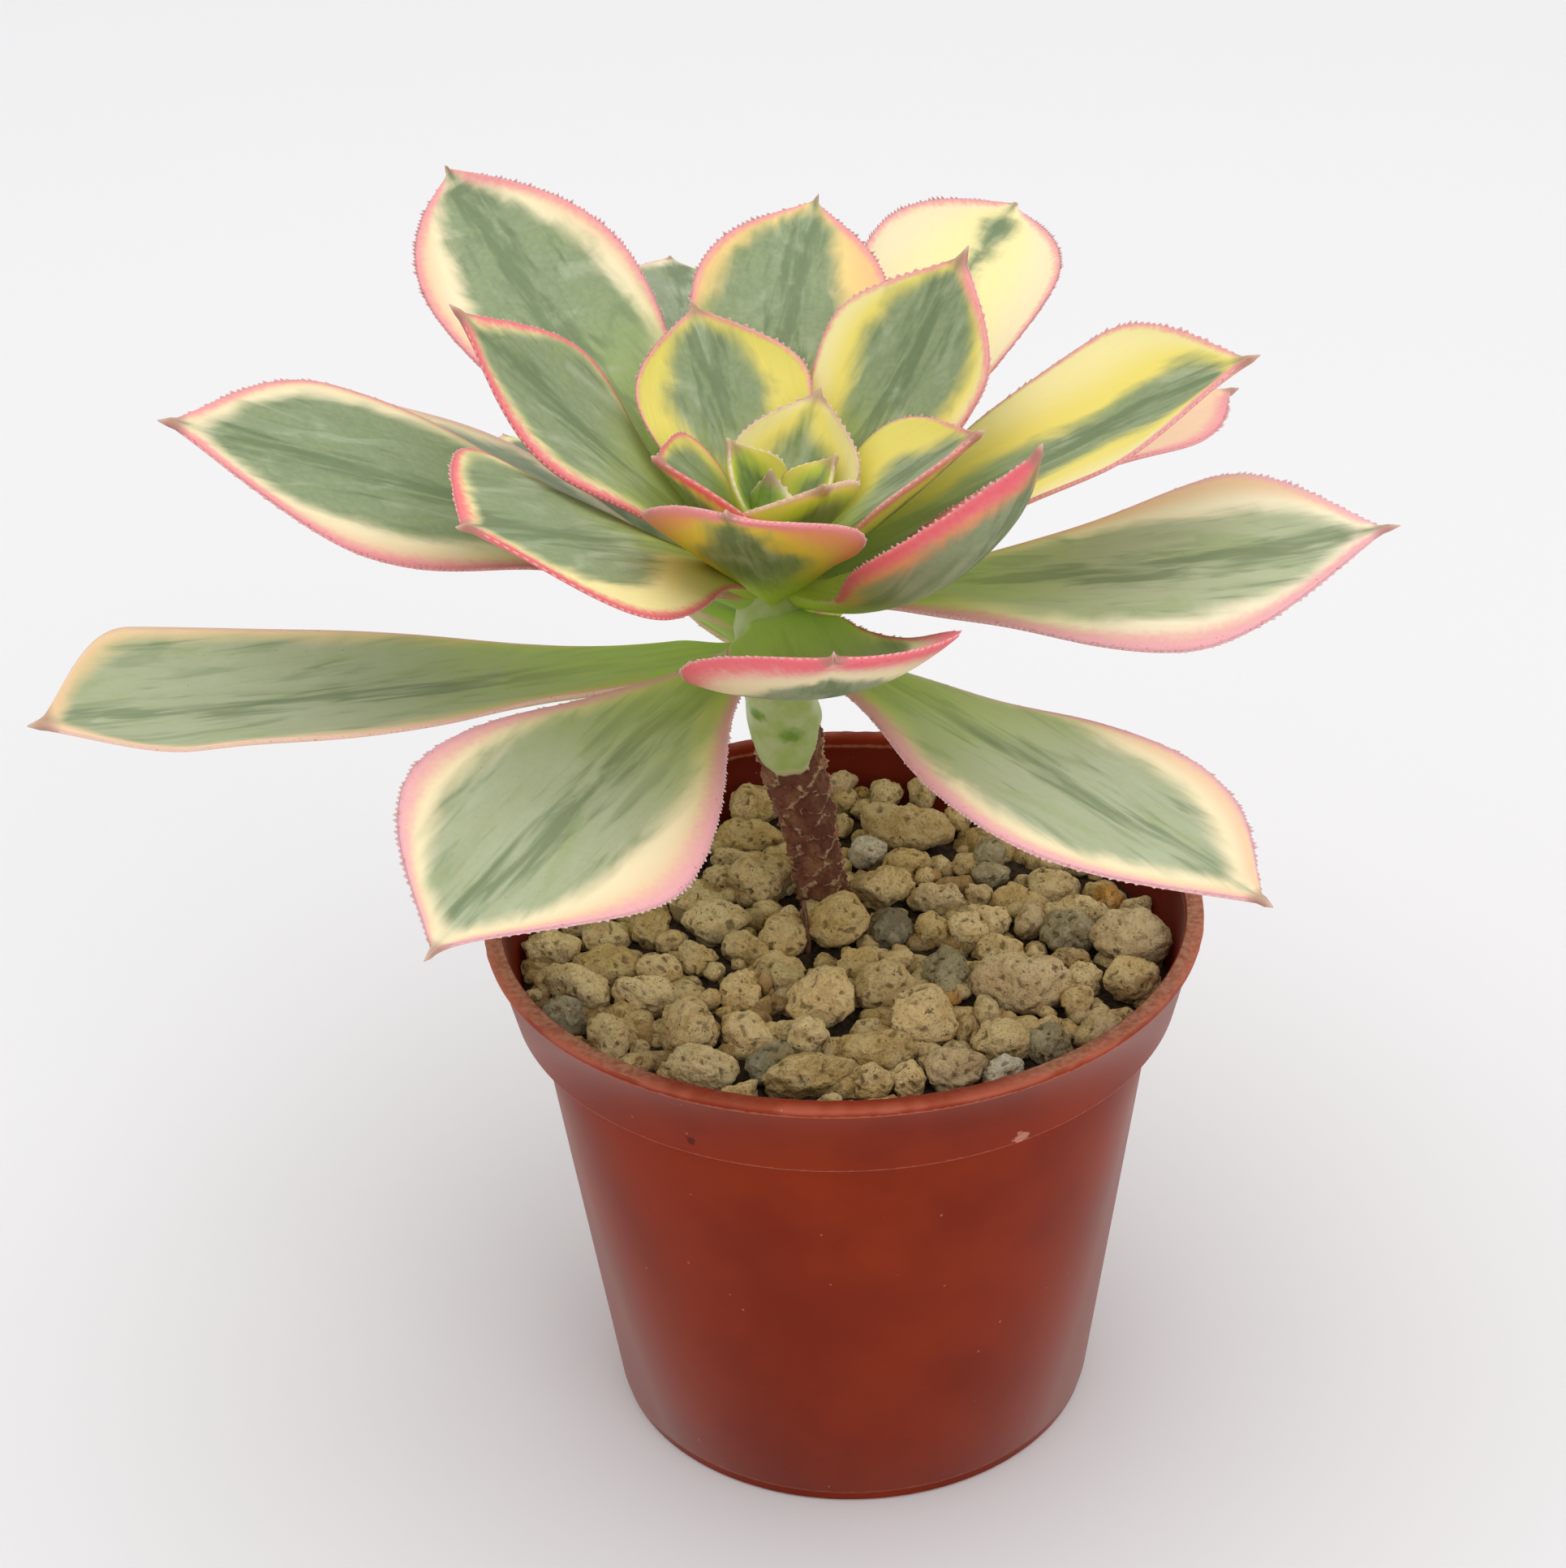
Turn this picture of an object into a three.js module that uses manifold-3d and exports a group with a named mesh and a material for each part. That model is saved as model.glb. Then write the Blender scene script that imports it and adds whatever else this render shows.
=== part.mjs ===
// Potted aeonium: one variegated rosette on a short woody stem, in a small round
// nursery pot that is filled with pumice gravel. Sizes are in millimetres, +Z is up,
// and the origin is the centre of the pot's underside.
import * as THREE from "three";
import { mergeVertices } from "three/addons/utils/BufferGeometryUtils.js";
import Module from "manifold-3d";

const wasm = await Module();
wasm.setup();

const GAP = 0.3; // clear space between neighbours that touch

// Pot: one moulding with a flat lip, a band under the lip and a foot ring
const POT_HEIGHT = 66.8;
const RIM_RADIUS = 42.5;
const LIP_WIDTH = 2.05;
const LIP_HEIGHT = 1.3;
const BAND_HEIGHT = 10.5;
const BAND_TOP_RADIUS = 41.8;
const BAND_FOOT_RADIUS = 39.7;
const BODY_TOP_RADIUS = 37.2;
const BASE_RADIUS = 29.5;
const FOOT_HEIGHT = 1.4;
const FOOT_STEP = 0.35;
const WALL = 1.0;
const FLOOR = 1.4;
const POT_SIDES = 48;
const DRAIN_HOLES = 4;
const DRAIN_RADIUS = 2.5;
const DRAIN_CIRCLE = 19;

// Gravel bed and its stones
const BED_SIDES = 40;
const BED_TOP = 58;
const STONE_LEVEL = 59.6;
const STONE_GROW = 0.56; // half a stone's size, and a little more where it sinks in the bed
const FILL_LEVEL = 58.6;
const BIG_STONE = 6.5; // half length and half depth, added, past which a stone has more faces
const FILL_COUNT = 78;
const FILL_SPREAD = 4.2;
const GOLDEN_ANGLE = 137.5;

// Stem: its centre line [x, y, z] and its radius there, from the foot to the top
const STEM_LINE = [
  [-2.0, 15.2, 44],
  [-2.4, 14.4, 59],
  [-3.7, 14.2, 68],
  [-5.5, 13.6, 77],
  [-6.8, 13.0, 88],
  [-7.5, 12.3, 98],
  [-7.0, 12.0, 107],
];
const STEM_RADII = [3.1, 3.2, 3.4, 4.1, 4.3, 4.6, 3.0];
const STEM_SIDES = 14;
const STEM_ROWS = 26;
const BARK_TOP = 77.5;
const SCALE_RELIEF = 0.22;
const SCALE_HEIGHT = 3.6;
const SCALES_ROUND = 4;

// Twig that stands in the gravel
const TWIG_FOOT = [-4.4, 3.2, 57.2];
const TWIG_TOP = [-4.6, 5.0, 64.2];
const TWIG_RADIUS = 0.4;

// Rosette: leaf n leaves the stem at an azimuth that grows by the golden angle,
// and lower down the stem the older it is
const FIRST_AZIMUTH = 157;
const FIRST_HEIGHT = 106.8;
const NODE_DROP = 0.55;
const LEAF_ROOT = 2; // where a midrib starts, out from the stem's centre line
const ROW_STEP = 3; // rows along a leaf, two to a tooth
const TOOTH_HEIGHT = 0.5;
const EDGE_THICKNESS = 0.7;
const TIP_HALF_WIDTH = 0.3;

// n, lift, turn, length, width, rise at base and tip, bend, roll at base and tip, cup,
// waist (share of the width at the base), broadest place (share of the length).
// Angles are in degrees. Leaf 25 has dropped off.
const LEAVES = [
  [1, 0, -3, 22, 16, 48, 47, 0, 5, 5, 35, 0.55, 0.54],
  [2, 0, -9, 20, 17, 60, 55, 0, 10, 10, 45, 0.5, 0.54],
  [3, 0, 0, 22, 22, 62, 46, 5, -20, -10, 35, 0.5, 0.56],
  [4, 0, 4, 29, 23, 42, 39, -5, 10, 5, 35, 0.5, 0.58],
  [5, 0, -9, 34, 23, 52, 40, -10, -5, 0, 45, 0.45, 0.62],
  [6, 0, 5, 47, 25, 31, 40, -5, -5, -5, 30, 0.45, 0.6],
  [7, 0, -3, 43, 24, 45, 58, 0, 10, 15, 20, 0.45, 0.68],
  [8, 0, 4, 48, 27, 45, 51, 0, 15, -20, 10, 0.4, 0.6],
  [9, 1, 2, 52, 26, 6, 67, -10, 15, 5, 50, 0.4, 0.62],
  [10, 0, -4, 58, 25, 55, 12, -10, 0, 15, 30, 0.4, 0.62],
  [11, 3, -2, 55, 32, 32, 25, 10, -10, -25, 5, 0.2, 0.66],
  [12, 0, -5, 61, 31, 31, 31, -15, 5, 10, 30, 0.35, 0.72],
  [13, 0, -1, 79, 26, 46, 8, -35, -5, -15, 30, 0.35, 0.62],
  [14, 0, 0, 59, 31, 1, 45, -10, 10, 0, 30, 0.45, 0.68],
  [15, 0, -6, 78, 26, 44, -3, 20, 25, 10, 45, 0.35, 0.66],
  [16, 4, -5, 72, 32, 26, 26, 10, 0, -20, 5, 0.3, 0.7],
  [17, 5, 14, 70, 30, 2, 21, -5, -10, 25, 5, 0.3, 0.68],
  [18, 0, -11, 73, 30, 34, -1, 0, 0, 10, 25, 0.3, 0.68],
  [19, 0, -5, 76, 32, 5, -3, 0, -20, -10, 10, 0.15, 0.68],
  [20, 0, 7, 72, 30, 21, -2, 5, -40, 0, 10, 0.3, 0.68],
  [21, 0, -26, 71, 27, 9, 12, 0, 20, 20, 5, 0.3, 0.68],
  [22, 2, 9, 78, 29, 0, 0, -5, -10, 0, 5, 0.25, 0.66],
  [23, 0, 6, 77, 29, 18, 10, 0, 0, 0, 10, 0.3, 0.68],
  [24, 0, -13, 85, 33, 6, 10, 0, 0, 0, 25, 0.3, 0.84],
  [26, 0, -11, 77, 29, 11, -11, -5, 0, 10, 10, 0.3, 0.68],
];

// The folded leaves of the heart, by the same measures
const HEART_LEAVES = [
  [0, 0, -3, 14, 13, 84, 67, -5, 15, -5, 50, 0.55, 0.54],
  [-1, 0, 6, 12, 10, 62, 56, 0, 0, 10, 45, 0.55, 0.52],
  [-2, 0, -3, 10, 8, 90, 110, 0, 0, 0, 50, 0.6, 0.5],
  [-3, 0, 0, 7, 6, 75, 80, 0, 0, 0, 55, 0.6, 0.5],
];

// Stones that show from the front: x, y, length, depth
const STONES = [
  [-0.5, 7, 7, 7.5],
  [5.5, 4.5, 6, 4.5],
  [10.5, 5, 4.2, 4.5],
  [15, 4, 4.6, 4.6],
  [18, 7, 4, 3.6],
  [22.5, 6, 4, 5],
  [28.5, 6.5, 7.5, 6.5],
  [27.5, 3.5, 4.8, 5.5],
  [34.5, 1.5, 8, 7.5],
  [5, 14.5, 7, 5],
  [11.5, 12.5, 6, 3.6],
  [8, 29.5, 10.5, 8],
  [3.5, 23, 4.5, 3.6],
  [8, 21, 4.5, 4.5],
  [3.5, -6.5, 9, 7.5],
  [12, -4.5, 5.5, 6],
  [20.5, -7.5, 10.5, 7.5],
  [9, -15, 9.2, 7],
  [28, -6.5, 4.6, 4.6],
  [33.5, -8, 6.8, 5],
  [28, -15, 5.8, 6.5],
  [18, -19, 7.2, 5.4],
  [23, -21, 5, 4.5],
  [17.5, -25, 5, 4],
  [12, -25, 7.2, 6.3],
  [3, -21, 8.7, 4.5],
  [5, -28, 9.2, 4.8],
  [-34.5, 2.5, 7, 5],
  [-28.5, 1, 7.2, 7.7],
  [-23.5, 6, 5, 5.5],
  [-34, -3.5, 6, 3.6],
  [-31.5, -8, 7.7, 5],
  [-32, -13, 5, 4.5],
  [-27, -17, 6, 6],
  [-24, -9, 7.5, 4.4],
  [-21.5, -3, 5.5, 4.2],
  [-17.5, -1.5, 4.4, 4.4],
  [-18, -15, 7, 7.7],
  [-15.5, -23.5, 8.4, 5],
  [-11.5, -17, 7, 5],
  [-8.5, -23.5, 6, 5],
  [-4.5, -26, 10.2, 4.6],
  [-4.5, -18.5, 4.4, 4.4],
  [-12.5, -6.5, 5.4, 6],
  [-3, -10, 7.8, 8.2],
  [-12.5, 2, 5.6, 4.2],
  [-15.5, 7, 7.5, 5],
  [-18, 11.5, 6.3, 4.2],
  [-10, 16.5, 7, 7],
  [-7.5, 3.5, 5, 6.4],
  [-16.5, 17.5, 6, 3.8],
  [-11.5, 28.5, 8, 5],
];

const radians = THREE.MathUtils.degToRad;
const mix = THREE.MathUtils.lerp;

// A blank three.js shape with each of its points moved by a rule
function reshape(blank, move) {
  const points = blank.getAttribute("position");
  const point = new THREE.Vector3();
  for (let i = 0; i < points.count; i += 1) {
    point.fromBufferAttribute(points, i);
    move(point);
    points.setXYZ(i, point.x, point.y, point.z);
  }
  return blank;
}

function solid(geometry) {
  geometry.deleteAttribute("normal");
  geometry.deleteAttribute("uv");
  const merged = mergeVertices(geometry, 1e-4);
  return new wasm.Manifold(
    new wasm.Mesh({
      numProp: 3,
      vertProperties: new Float32Array(merged.getAttribute("position").array),
      triVerts: new Uint32Array(merged.index.array),
    }),
  );
}

// The largest body of a solid: scraps that a cut leaves are dropped
function mainBody(shape) {
  const bodies = shape.decompose();
  return bodies.reduce((best, body) => (body.volume() > best.volume() ? body : best));
}

function toGeometry(shape) {
  const mesh = shape.getMesh();
  const geometry = new THREE.BufferGeometry();
  geometry.setAttribute("position", new THREE.BufferAttribute(new Float32Array(mesh.vertProperties), 3));
  geometry.setIndex(new THREE.BufferAttribute(new Uint32Array(mesh.triVerts), 1));
  geometry.computeVertexNormals();
  return geometry;
}

function lathe(profile, sides) {
  const outline = profile.map(([radius, height]) => new THREE.Vector2(radius, height));
  return new THREE.LatheGeometry(outline, sides).rotateX(Math.PI / 2);
}

// Along the stem's centre line: the point and radius at a height
function stemAt(height) {
  let i = 1;
  while (i < STEM_LINE.length - 1 && STEM_LINE[i][2] < height) i += 1;
  const [low, high] = [STEM_LINE[i - 1], STEM_LINE[i]];
  const share = (height - low[2]) / (high[2] - low[2]);
  return {
    x: mix(low[0], high[0], share),
    y: mix(low[1], high[1], share),
    radius: mix(STEM_RADII[i - 1], STEM_RADII[i], share),
  };
}

function potSolid() {
  const lipFoot = POT_HEIGHT - LIP_HEIGHT;
  const bandFoot = POT_HEIGHT - BAND_HEIGHT;
  const innerLip = RIM_RADIUS - LIP_WIDTH;
  const shell = lathe(
    [
      [0, 0],
      [BASE_RADIUS - 0.3, 0],
      [BASE_RADIUS, 0.3],
      [BASE_RADIUS, FOOT_HEIGHT],
      [BASE_RADIUS + FOOT_STEP, FOOT_HEIGHT + 0.2],
      [BODY_TOP_RADIUS, bandFoot],
      [BAND_FOOT_RADIUS, bandFoot + 0.2],
      [BAND_TOP_RADIUS, lipFoot],
      [RIM_RADIUS, lipFoot + 0.2],
      [RIM_RADIUS, POT_HEIGHT],
      [innerLip, POT_HEIGHT],
      [innerLip, lipFoot],
      [BAND_FOOT_RADIUS - WALL, bandFoot + WALL],
      [BODY_TOP_RADIUS - WALL, bandFoot + WALL],
      [BASE_RADIUS + FOOT_STEP - WALL, FLOOR],
      [0, FLOOR],
    ],
    POT_SIDES,
  );
  let pot = solid(shell);
  for (let i = 0; i < DRAIN_HOLES; i += 1) {
    const angle = radians((i * 360) / DRAIN_HOLES);
    const punch = new THREE.CylinderGeometry(DRAIN_RADIUS, DRAIN_RADIUS, 3 * FLOOR, 10);
    punch.rotateX(Math.PI / 2);
    punch.translate(DRAIN_CIRCLE * Math.cos(angle), DRAIN_CIRCLE * Math.sin(angle), FLOOR / 2);
    pot = pot.subtract(solid(punch));
  }
  return pot;
}

// The room inside the pot, a gap clear of its walls, up to a height
function potRoom(top) {
  const ledge = POT_HEIGHT - BAND_HEIGHT + WALL + GAP;
  const rise = (BAND_TOP_RADIUS - BAND_FOOT_RADIUS) / BAND_HEIGHT;
  const clear = WALL + GAP;
  return solid(
    lathe(
      [
        [0, FLOOR + GAP],
        [BASE_RADIUS + FOOT_STEP - clear, FLOOR + GAP],
        [BODY_TOP_RADIUS - clear, ledge],
        [BAND_FOOT_RADIUS - clear, ledge],
        [BAND_FOOT_RADIUS - clear + rise * (top - ledge), top],
        [0, top],
      ],
      BED_SIDES,
    ),
  );
}

// A rounded, uneven stone: half sizes a, b and c, its shape set by its number
function stoneSolid(x, y, z, [a, b, c], number) {
  const ball = a + b > BIG_STONE ? new THREE.DodecahedronGeometry(1) : new THREE.IcosahedronGeometry(1);
  reshape(ball, (p) => {
    const swell = 0.12 * Math.sin(3.1 * p.x + number) * Math.cos(2.7 * p.y + 1.3 * number);
    const dent = 0.1 * Math.sin(2.3 * p.z + 1.7 * number);
    p.multiplyScalar(1 + swell + dent);
    p.set(p.x * a, p.y * b, p.z * c);
  });
  return solid(ball.translate(x, y, z));
}

function gravelSolid() {
  const stones = STONES.map(([x, y, length, depth], i) => {
    const half = [length * STONE_GROW, depth * STONE_GROW, (length + depth) * STONE_GROW * 0.5];
    return stoneSolid(x, y, STONE_LEVEL, half, i);
  });
  for (let i = 0; i < FILL_COUNT; i += 1) {
    const angle = radians(i * GOLDEN_ANGLE);
    const out = FILL_SPREAD * Math.sqrt(i + 0.5);
    const x = out * Math.cos(angle);
    const y = out * Math.sin(angle);
    const size = 3 + 0.9 * ((i * 0.618) % 1);
    const taken = STONES.some(([sx, sy, length, depth]) => {
      const reach = 0.75 * (size + (length + depth) / 4);
      return Math.hypot(x - sx, y - sy) < reach;
    });
    if (!taken) stones.push(stoneSolid(x, y, FILL_LEVEL, [1.15 * size, size, size], i + 0.5));
  }
  const heap = stones.reduce((all, stone) => all.add(stone), potRoom(BED_TOP));
  return heap.intersect(potRoom(POT_HEIGHT - 1));
}

// The stem, with low diamond relief where the old bark is
function stemSolid(grow) {
  const foot = STEM_LINE[0][2];
  const top = STEM_LINE[STEM_LINE.length - 1][2];
  const blank = new THREE.CylinderGeometry(1, 1, 1, STEM_SIDES, STEM_ROWS).rotateX(Math.PI / 2);
  reshape(blank, (p) => {
    const height = mix(foot, top, p.z + 0.5);
    const line = stemAt(height);
    const around = Math.atan2(p.y, p.x);
    const wave = SCALES_ROUND * around;
    const climb = (2 * Math.PI * height) / SCALE_HEIGHT;
    const scale = height < BARK_TOP ? SCALE_RELIEF * Math.sin(climb + wave) * Math.sin(climb - wave) : 0;
    const radius = (line.radius + (grow > 0 ? SCALE_RELIEF : scale) + grow) * Math.hypot(p.x, p.y);
    const end = Math.sign(p.z) * (Math.abs(p.z) > 0.499 ? grow : 0);
    p.set(line.x + radius * Math.cos(around), line.y + radius * Math.sin(around), height + end);
  });
  return solid(blank);
}

function twigSolid(grow) {
  const [foot, top] = [new THREE.Vector3(...TWIG_FOOT), new THREE.Vector3(...TWIG_TOP)];
  const length = foot.distanceTo(top) + 2 * grow;
  const rod = new THREE.CylinderGeometry(TWIG_RADIUS * 0.8 + grow, TWIG_RADIUS + grow, length, 6);
  const along = new THREE.Vector3().subVectors(top, foot).normalize();
  rod.applyQuaternion(new THREE.Quaternion().setFromUnitVectors(new THREE.Vector3(0, 1, 0), along));
  const middle = foot.add(top).multiplyScalar(0.5);
  return solid(rod.translate(middle.x, middle.y, middle.z));
}

// Half width of a leaf as a share of its broadest, from base (0) to tip (1)
function outline(t, waist, broadest) {
  if (t < broadest) {
    return waist + (1 - waist) * THREE.MathUtils.smoothstep(t / broadest, 0.12, 1);
  }
  return Math.cos((Math.PI / 2) * ((t - broadest) / (1 - broadest))) ** 1.15;
}

// Both broad faces of a leaf are split into triangles alike
function matchDiagonals(slab) {
  const { start, count } = slab.groups[5];
  const index = slab.index.array;
  for (let i = start; i < start + count; i += 6) {
    const [a, b, d, , c] = index.slice(i, i + 5);
    index.set([a, b, c, a, c, d], i);
  }
  return slab;
}

// One leaf: a toothed slab along an arched midrib, cupped across
function leafSolid(measures, grow) {
  const [n, lift, turn, length, width, rise0, rise1, bend, roll0, roll1, cup, waist, broadest] = measures;
  const azimuth = FIRST_AZIMUTH + n * GOLDEN_ANGLE + turn;
  const height = FIRST_HEIGHT - n * NODE_DROP + lift;
  const root = stemAt(height);
  const start = radians(azimuth);
  const rows = 2 * Math.max(3, Math.round(length / ROW_STEP / 2));
  const arc = radians(cup);
  const rib = [];
  const spot = new THREE.Vector3(root.x, root.y, height);
  spot.x += LEAF_ROOT * Math.cos(start);
  spot.y += LEAF_ROOT * Math.sin(start);
  for (let row = 0; row <= rows; row += 1) {
    const t = row / rows;
    const heading = (share) => {
      const rise = radians(mix(rise0, rise1, share));
      const way = radians(azimuth + bend * share);
      return new THREE.Vector3(Math.cos(rise) * Math.cos(way), Math.cos(rise) * Math.sin(way), Math.sin(rise));
    };
    if (row > 0) spot.addScaledVector(heading(t - 0.5 / rows), length / rows);
    const along = heading(t);
    const way = radians(azimuth + bend * t);
    const side = new THREE.Vector3(-Math.sin(way), Math.cos(way), 0);
    const up = new THREE.Vector3().crossVectors(along, side);
    const roll = radians(mix(roll0, roll1, t));
    rib.push({
      spot: spot.clone(),
      side: side.clone().multiplyScalar(Math.cos(roll)).addScaledVector(up, Math.sin(roll)),
      up: up.clone().multiplyScalar(Math.cos(roll)).addScaledVector(side, -Math.sin(roll)),
      along,
    });
  }
  const slab = matchDiagonals(new THREE.BoxGeometry(2, rows, 2, 2, rows, 1));
  reshape(slab, (p) => {
    const row = Math.round(p.y + rows / 2);
    const across = -p.x;
    const face = p.z;
    const t = row / rows;
    const { spot: middle, side, up, along } = rib[row];
    const tooth = row % 2 === 1 ? TOOTH_HEIGHT : 0;
    const plain = Math.max(outline(t, waist, broadest) * width / 2, TIP_HALF_WIDTH);
    const half = plain + (grow > 0 ? TOOTH_HEIGHT + grow : tooth);
    const thick = mix(1.2 + length * 0.016, 0.9, t);
    const depth = mix(thick, EDGE_THICKNESS, Math.abs(across)) / 2 + grow;
    const end = row === 0 ? -grow : row === rows ? grow : 0;
    p.copy(middle);
    p.addScaledVector(side, (half * Math.sin(arc * across)) / arc);
    p.addScaledVector(up, (half * (1 - Math.cos(arc * across))) / arc + face * depth);
    p.addScaledVector(along, end);
  });
  return solid(slab);
}

function heartSolid() {
  const tip = stemAt(STEM_LINE[STEM_LINE.length - 1][2]);
  const core = new THREE.SphereGeometry(1, 7, 4);
  reshape(core, (p) => p.set(tip.x + 2.6 * p.x, tip.y + 2.6 * p.y, 108 + 3.4 * p.z));
  return HEART_LEAVES.reduce((all, leaf) => all.add(leafSolid(leaf, 0)), solid(core));
}

const group = new THREE.Group();

function addPiece(name, shape, color, roughness) {
  const material = new THREE.MeshStandardMaterial({ color, roughness, metalness: 0 });
  const mesh = new THREE.Mesh(toGeometry(shape), material);
  mesh.name = name;
  group.add(mesh);
}

const stem = stemSolid(0);
const stemRoom = stemSolid(GAP);
addPiece("pot", potSolid(), "#7e3226", 0.5);
addPiece("gravel", mainBody(gravelSolid().subtract(stemRoom).subtract(twigSolid(GAP))), "#a8976b", 0.95);
addPiece("stem", stem, "#7a4a36", 0.85);
addPiece("twig", twigSolid(0), "#6b3a2b", 0.85);

// From the oldest leaf inwards, each stands clear of the stem and the leaves before it
const taken = [stemRoom];
for (const measures of [...LEAVES].reverse()) {
  const [n] = measures;
  const clear = taken.reduce((leaf, room) => leaf.subtract(room), leafSolid(measures, 0));
  const age = Math.min(n / 16, 1);
  const color = new THREE.Color("#c9cf74").lerp(new THREE.Color("#93a884"), age);
  addPiece(`leaf_${String(n).padStart(2, "0")}`, mainBody(clear), color, 0.45);
  taken.push(leafSolid(measures, GAP));
}
const heart = taken.reduce((leaf, room) => leaf.subtract(room), heartSolid());
addPiece("heart", mainBody(heart), "#b9c76a", 0.45);

export default group;
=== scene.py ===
"""Potted aeonium: a variegated rosette on a short stem, pumice gravel and a nursery pot.

Sizes are named in millimetres and turned to metres where a point is placed. The frame is
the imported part's own: +Z up, the origin in the middle of the pot's underside.
"""
import math
import random

import bmesh
import bpy
from mathutils import Matrix, Vector, noise


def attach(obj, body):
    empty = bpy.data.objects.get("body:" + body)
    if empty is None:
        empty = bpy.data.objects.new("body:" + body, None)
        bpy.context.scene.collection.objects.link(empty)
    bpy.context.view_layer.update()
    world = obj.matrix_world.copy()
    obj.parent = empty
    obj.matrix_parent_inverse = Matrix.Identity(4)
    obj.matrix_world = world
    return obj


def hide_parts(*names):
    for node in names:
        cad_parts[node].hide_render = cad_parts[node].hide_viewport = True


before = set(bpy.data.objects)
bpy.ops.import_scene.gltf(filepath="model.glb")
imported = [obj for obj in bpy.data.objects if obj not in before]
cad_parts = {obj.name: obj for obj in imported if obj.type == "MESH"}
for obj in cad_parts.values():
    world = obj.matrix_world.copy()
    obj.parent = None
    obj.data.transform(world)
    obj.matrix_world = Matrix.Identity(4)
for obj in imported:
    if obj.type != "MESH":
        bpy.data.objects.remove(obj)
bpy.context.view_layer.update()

MM = 0.001

# ---------------- sizes, as in the part
GOLDEN_ANGLE = 137.5
FIRST_AZIMUTH = 157
FIRST_HEIGHT = 106.8
NODE_DROP = 0.55
LEAF_ROOT = 2.0
TIP_HALF_WIDTH = 0.3

STEM_LINE = [
    (-2.0, 15.2, 44), (-2.4, 14.4, 59), (-3.7, 14.2, 68), (-5.5, 13.6, 77), (-6.8, 13.0, 88),
    (-7.5, 12.3, 98), (-7.0, 12.0, 107),
]
STEM_RADII = [3.1, 3.2, 3.4, 4.1, 4.3, 4.6, 3.0]
BARK_TOP = 78.9

TWIG_FOOT = (-4.4, 3.2, 57.2)
TWIG_TOP = (-4.6, 5.0, 64.2)
TWIG_RADIUS = 0.4

# n, lift, turn, length, width, rise at base and tip, bend, roll at base and tip, cup,
# waist (share of the width at the base), broadest place (share of the length)
LEAVES = [
    (1, 0, -3, 22, 16, 48, 47, 0, 5, 5, 35, 0.55, 0.54),
    (2, 0, -9, 20, 17, 60, 55, 0, 10, 10, 45, 0.5, 0.54),
    (3, 0, 0, 22, 22, 62, 46, 5, -20, -10, 35, 0.5, 0.56),
    (4, 0, 4, 29, 23, 42, 39, -5, 10, 5, 35, 0.5, 0.58),
    (5, 0, -9, 34, 23, 52, 40, -10, -5, 0, 45, 0.45, 0.62),
    (6, 0, 5, 47, 25, 31, 40, -5, -5, -5, 30, 0.45, 0.6),
    (7, 0, -3, 43, 24, 45, 58, 0, 10, 15, 20, 0.45, 0.68),
    (8, 0, 4, 48, 27, 45, 51, 0, 15, -20, 10, 0.4, 0.6),
    (9, 1, 2, 53, 24, 6, 67, -10, 15, 5, 60, 0.22, 0.56),
    (10, 0, -4, 58, 25, 55, 12, -10, 0, 15, 30, 0.4, 0.62),
    (11, 3, -2, 55, 32, 32, 25, 10, -10, -25, 5, 0.2, 0.66),
    (12, 0, -5, 61, 31, 31, 31, -15, 5, 10, 30, 0.35, 0.72),
    (13, 0, -1, 79, 26, 46, 8, -35, -5, -15, 30, 0.35, 0.62),
    (14, 0, 0, 59, 31, 1, 45, -10, 10, 0, 30, 0.45, 0.68),
    (15, 0, -6, 78, 26, 44, -3, 20, 25, 10, 45, 0.35, 0.66),
    (16, 4, -5, 72, 32, 26, 26, 10, 0, -20, 5, 0.3, 0.7),
    (17, 5, 14, 70, 30, 2, 21, -5, -10, 25, 5, 0.3, 0.68),
    (18, 0, -11, 73, 30, 34, -1, 0, 0, 10, 25, 0.3, 0.68),
    (19, 0, -5, 76, 32, 5, -3, 0, -20, -10, 10, 0.15, 0.68),
    (20, 0, 7, 72, 30, 21, -2, 5, -40, 0, 10, 0.3, 0.68),
    (21, 0, -26, 71, 27, 9, 12, 0, 20, 20, 5, 0.3, 0.68),
    (22, 2, 9, 78, 29, 0, 0, -5, -10, 0, 5, 0.25, 0.66),
    (23, 0, 6, 77, 29, 18, 10, 0, 0, 0, 10, 0.3, 0.68),
    (24, 0, -13, 85, 33, 6, 10, 0, 0, 0, 25, 0.3, 0.84),
    (26, 0, -11, 77, 29, 11, -11, -5, 0, 10, 10, 0.3, 0.68),
]
HEART_LEAVES = [  # the same measures, for the folded leaves in the middle
    (0, 0, -3, 14, 13, 84, 67, -5, 15, -5, 50, 0.55, 0.54),
    (-1, 0, 6, 12, 10, 62, 56, 0, 0, 10, 45, 0.55, 0.52),
    (-2, 0, -3, 10, 8, 90, 110, 0, 0, 0, 50, 0.6, 0.5),
    (-3, 0, 0, 7, 6, 75, 80, 0, 0, 0, 55, 0.6, 0.5),
]

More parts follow.
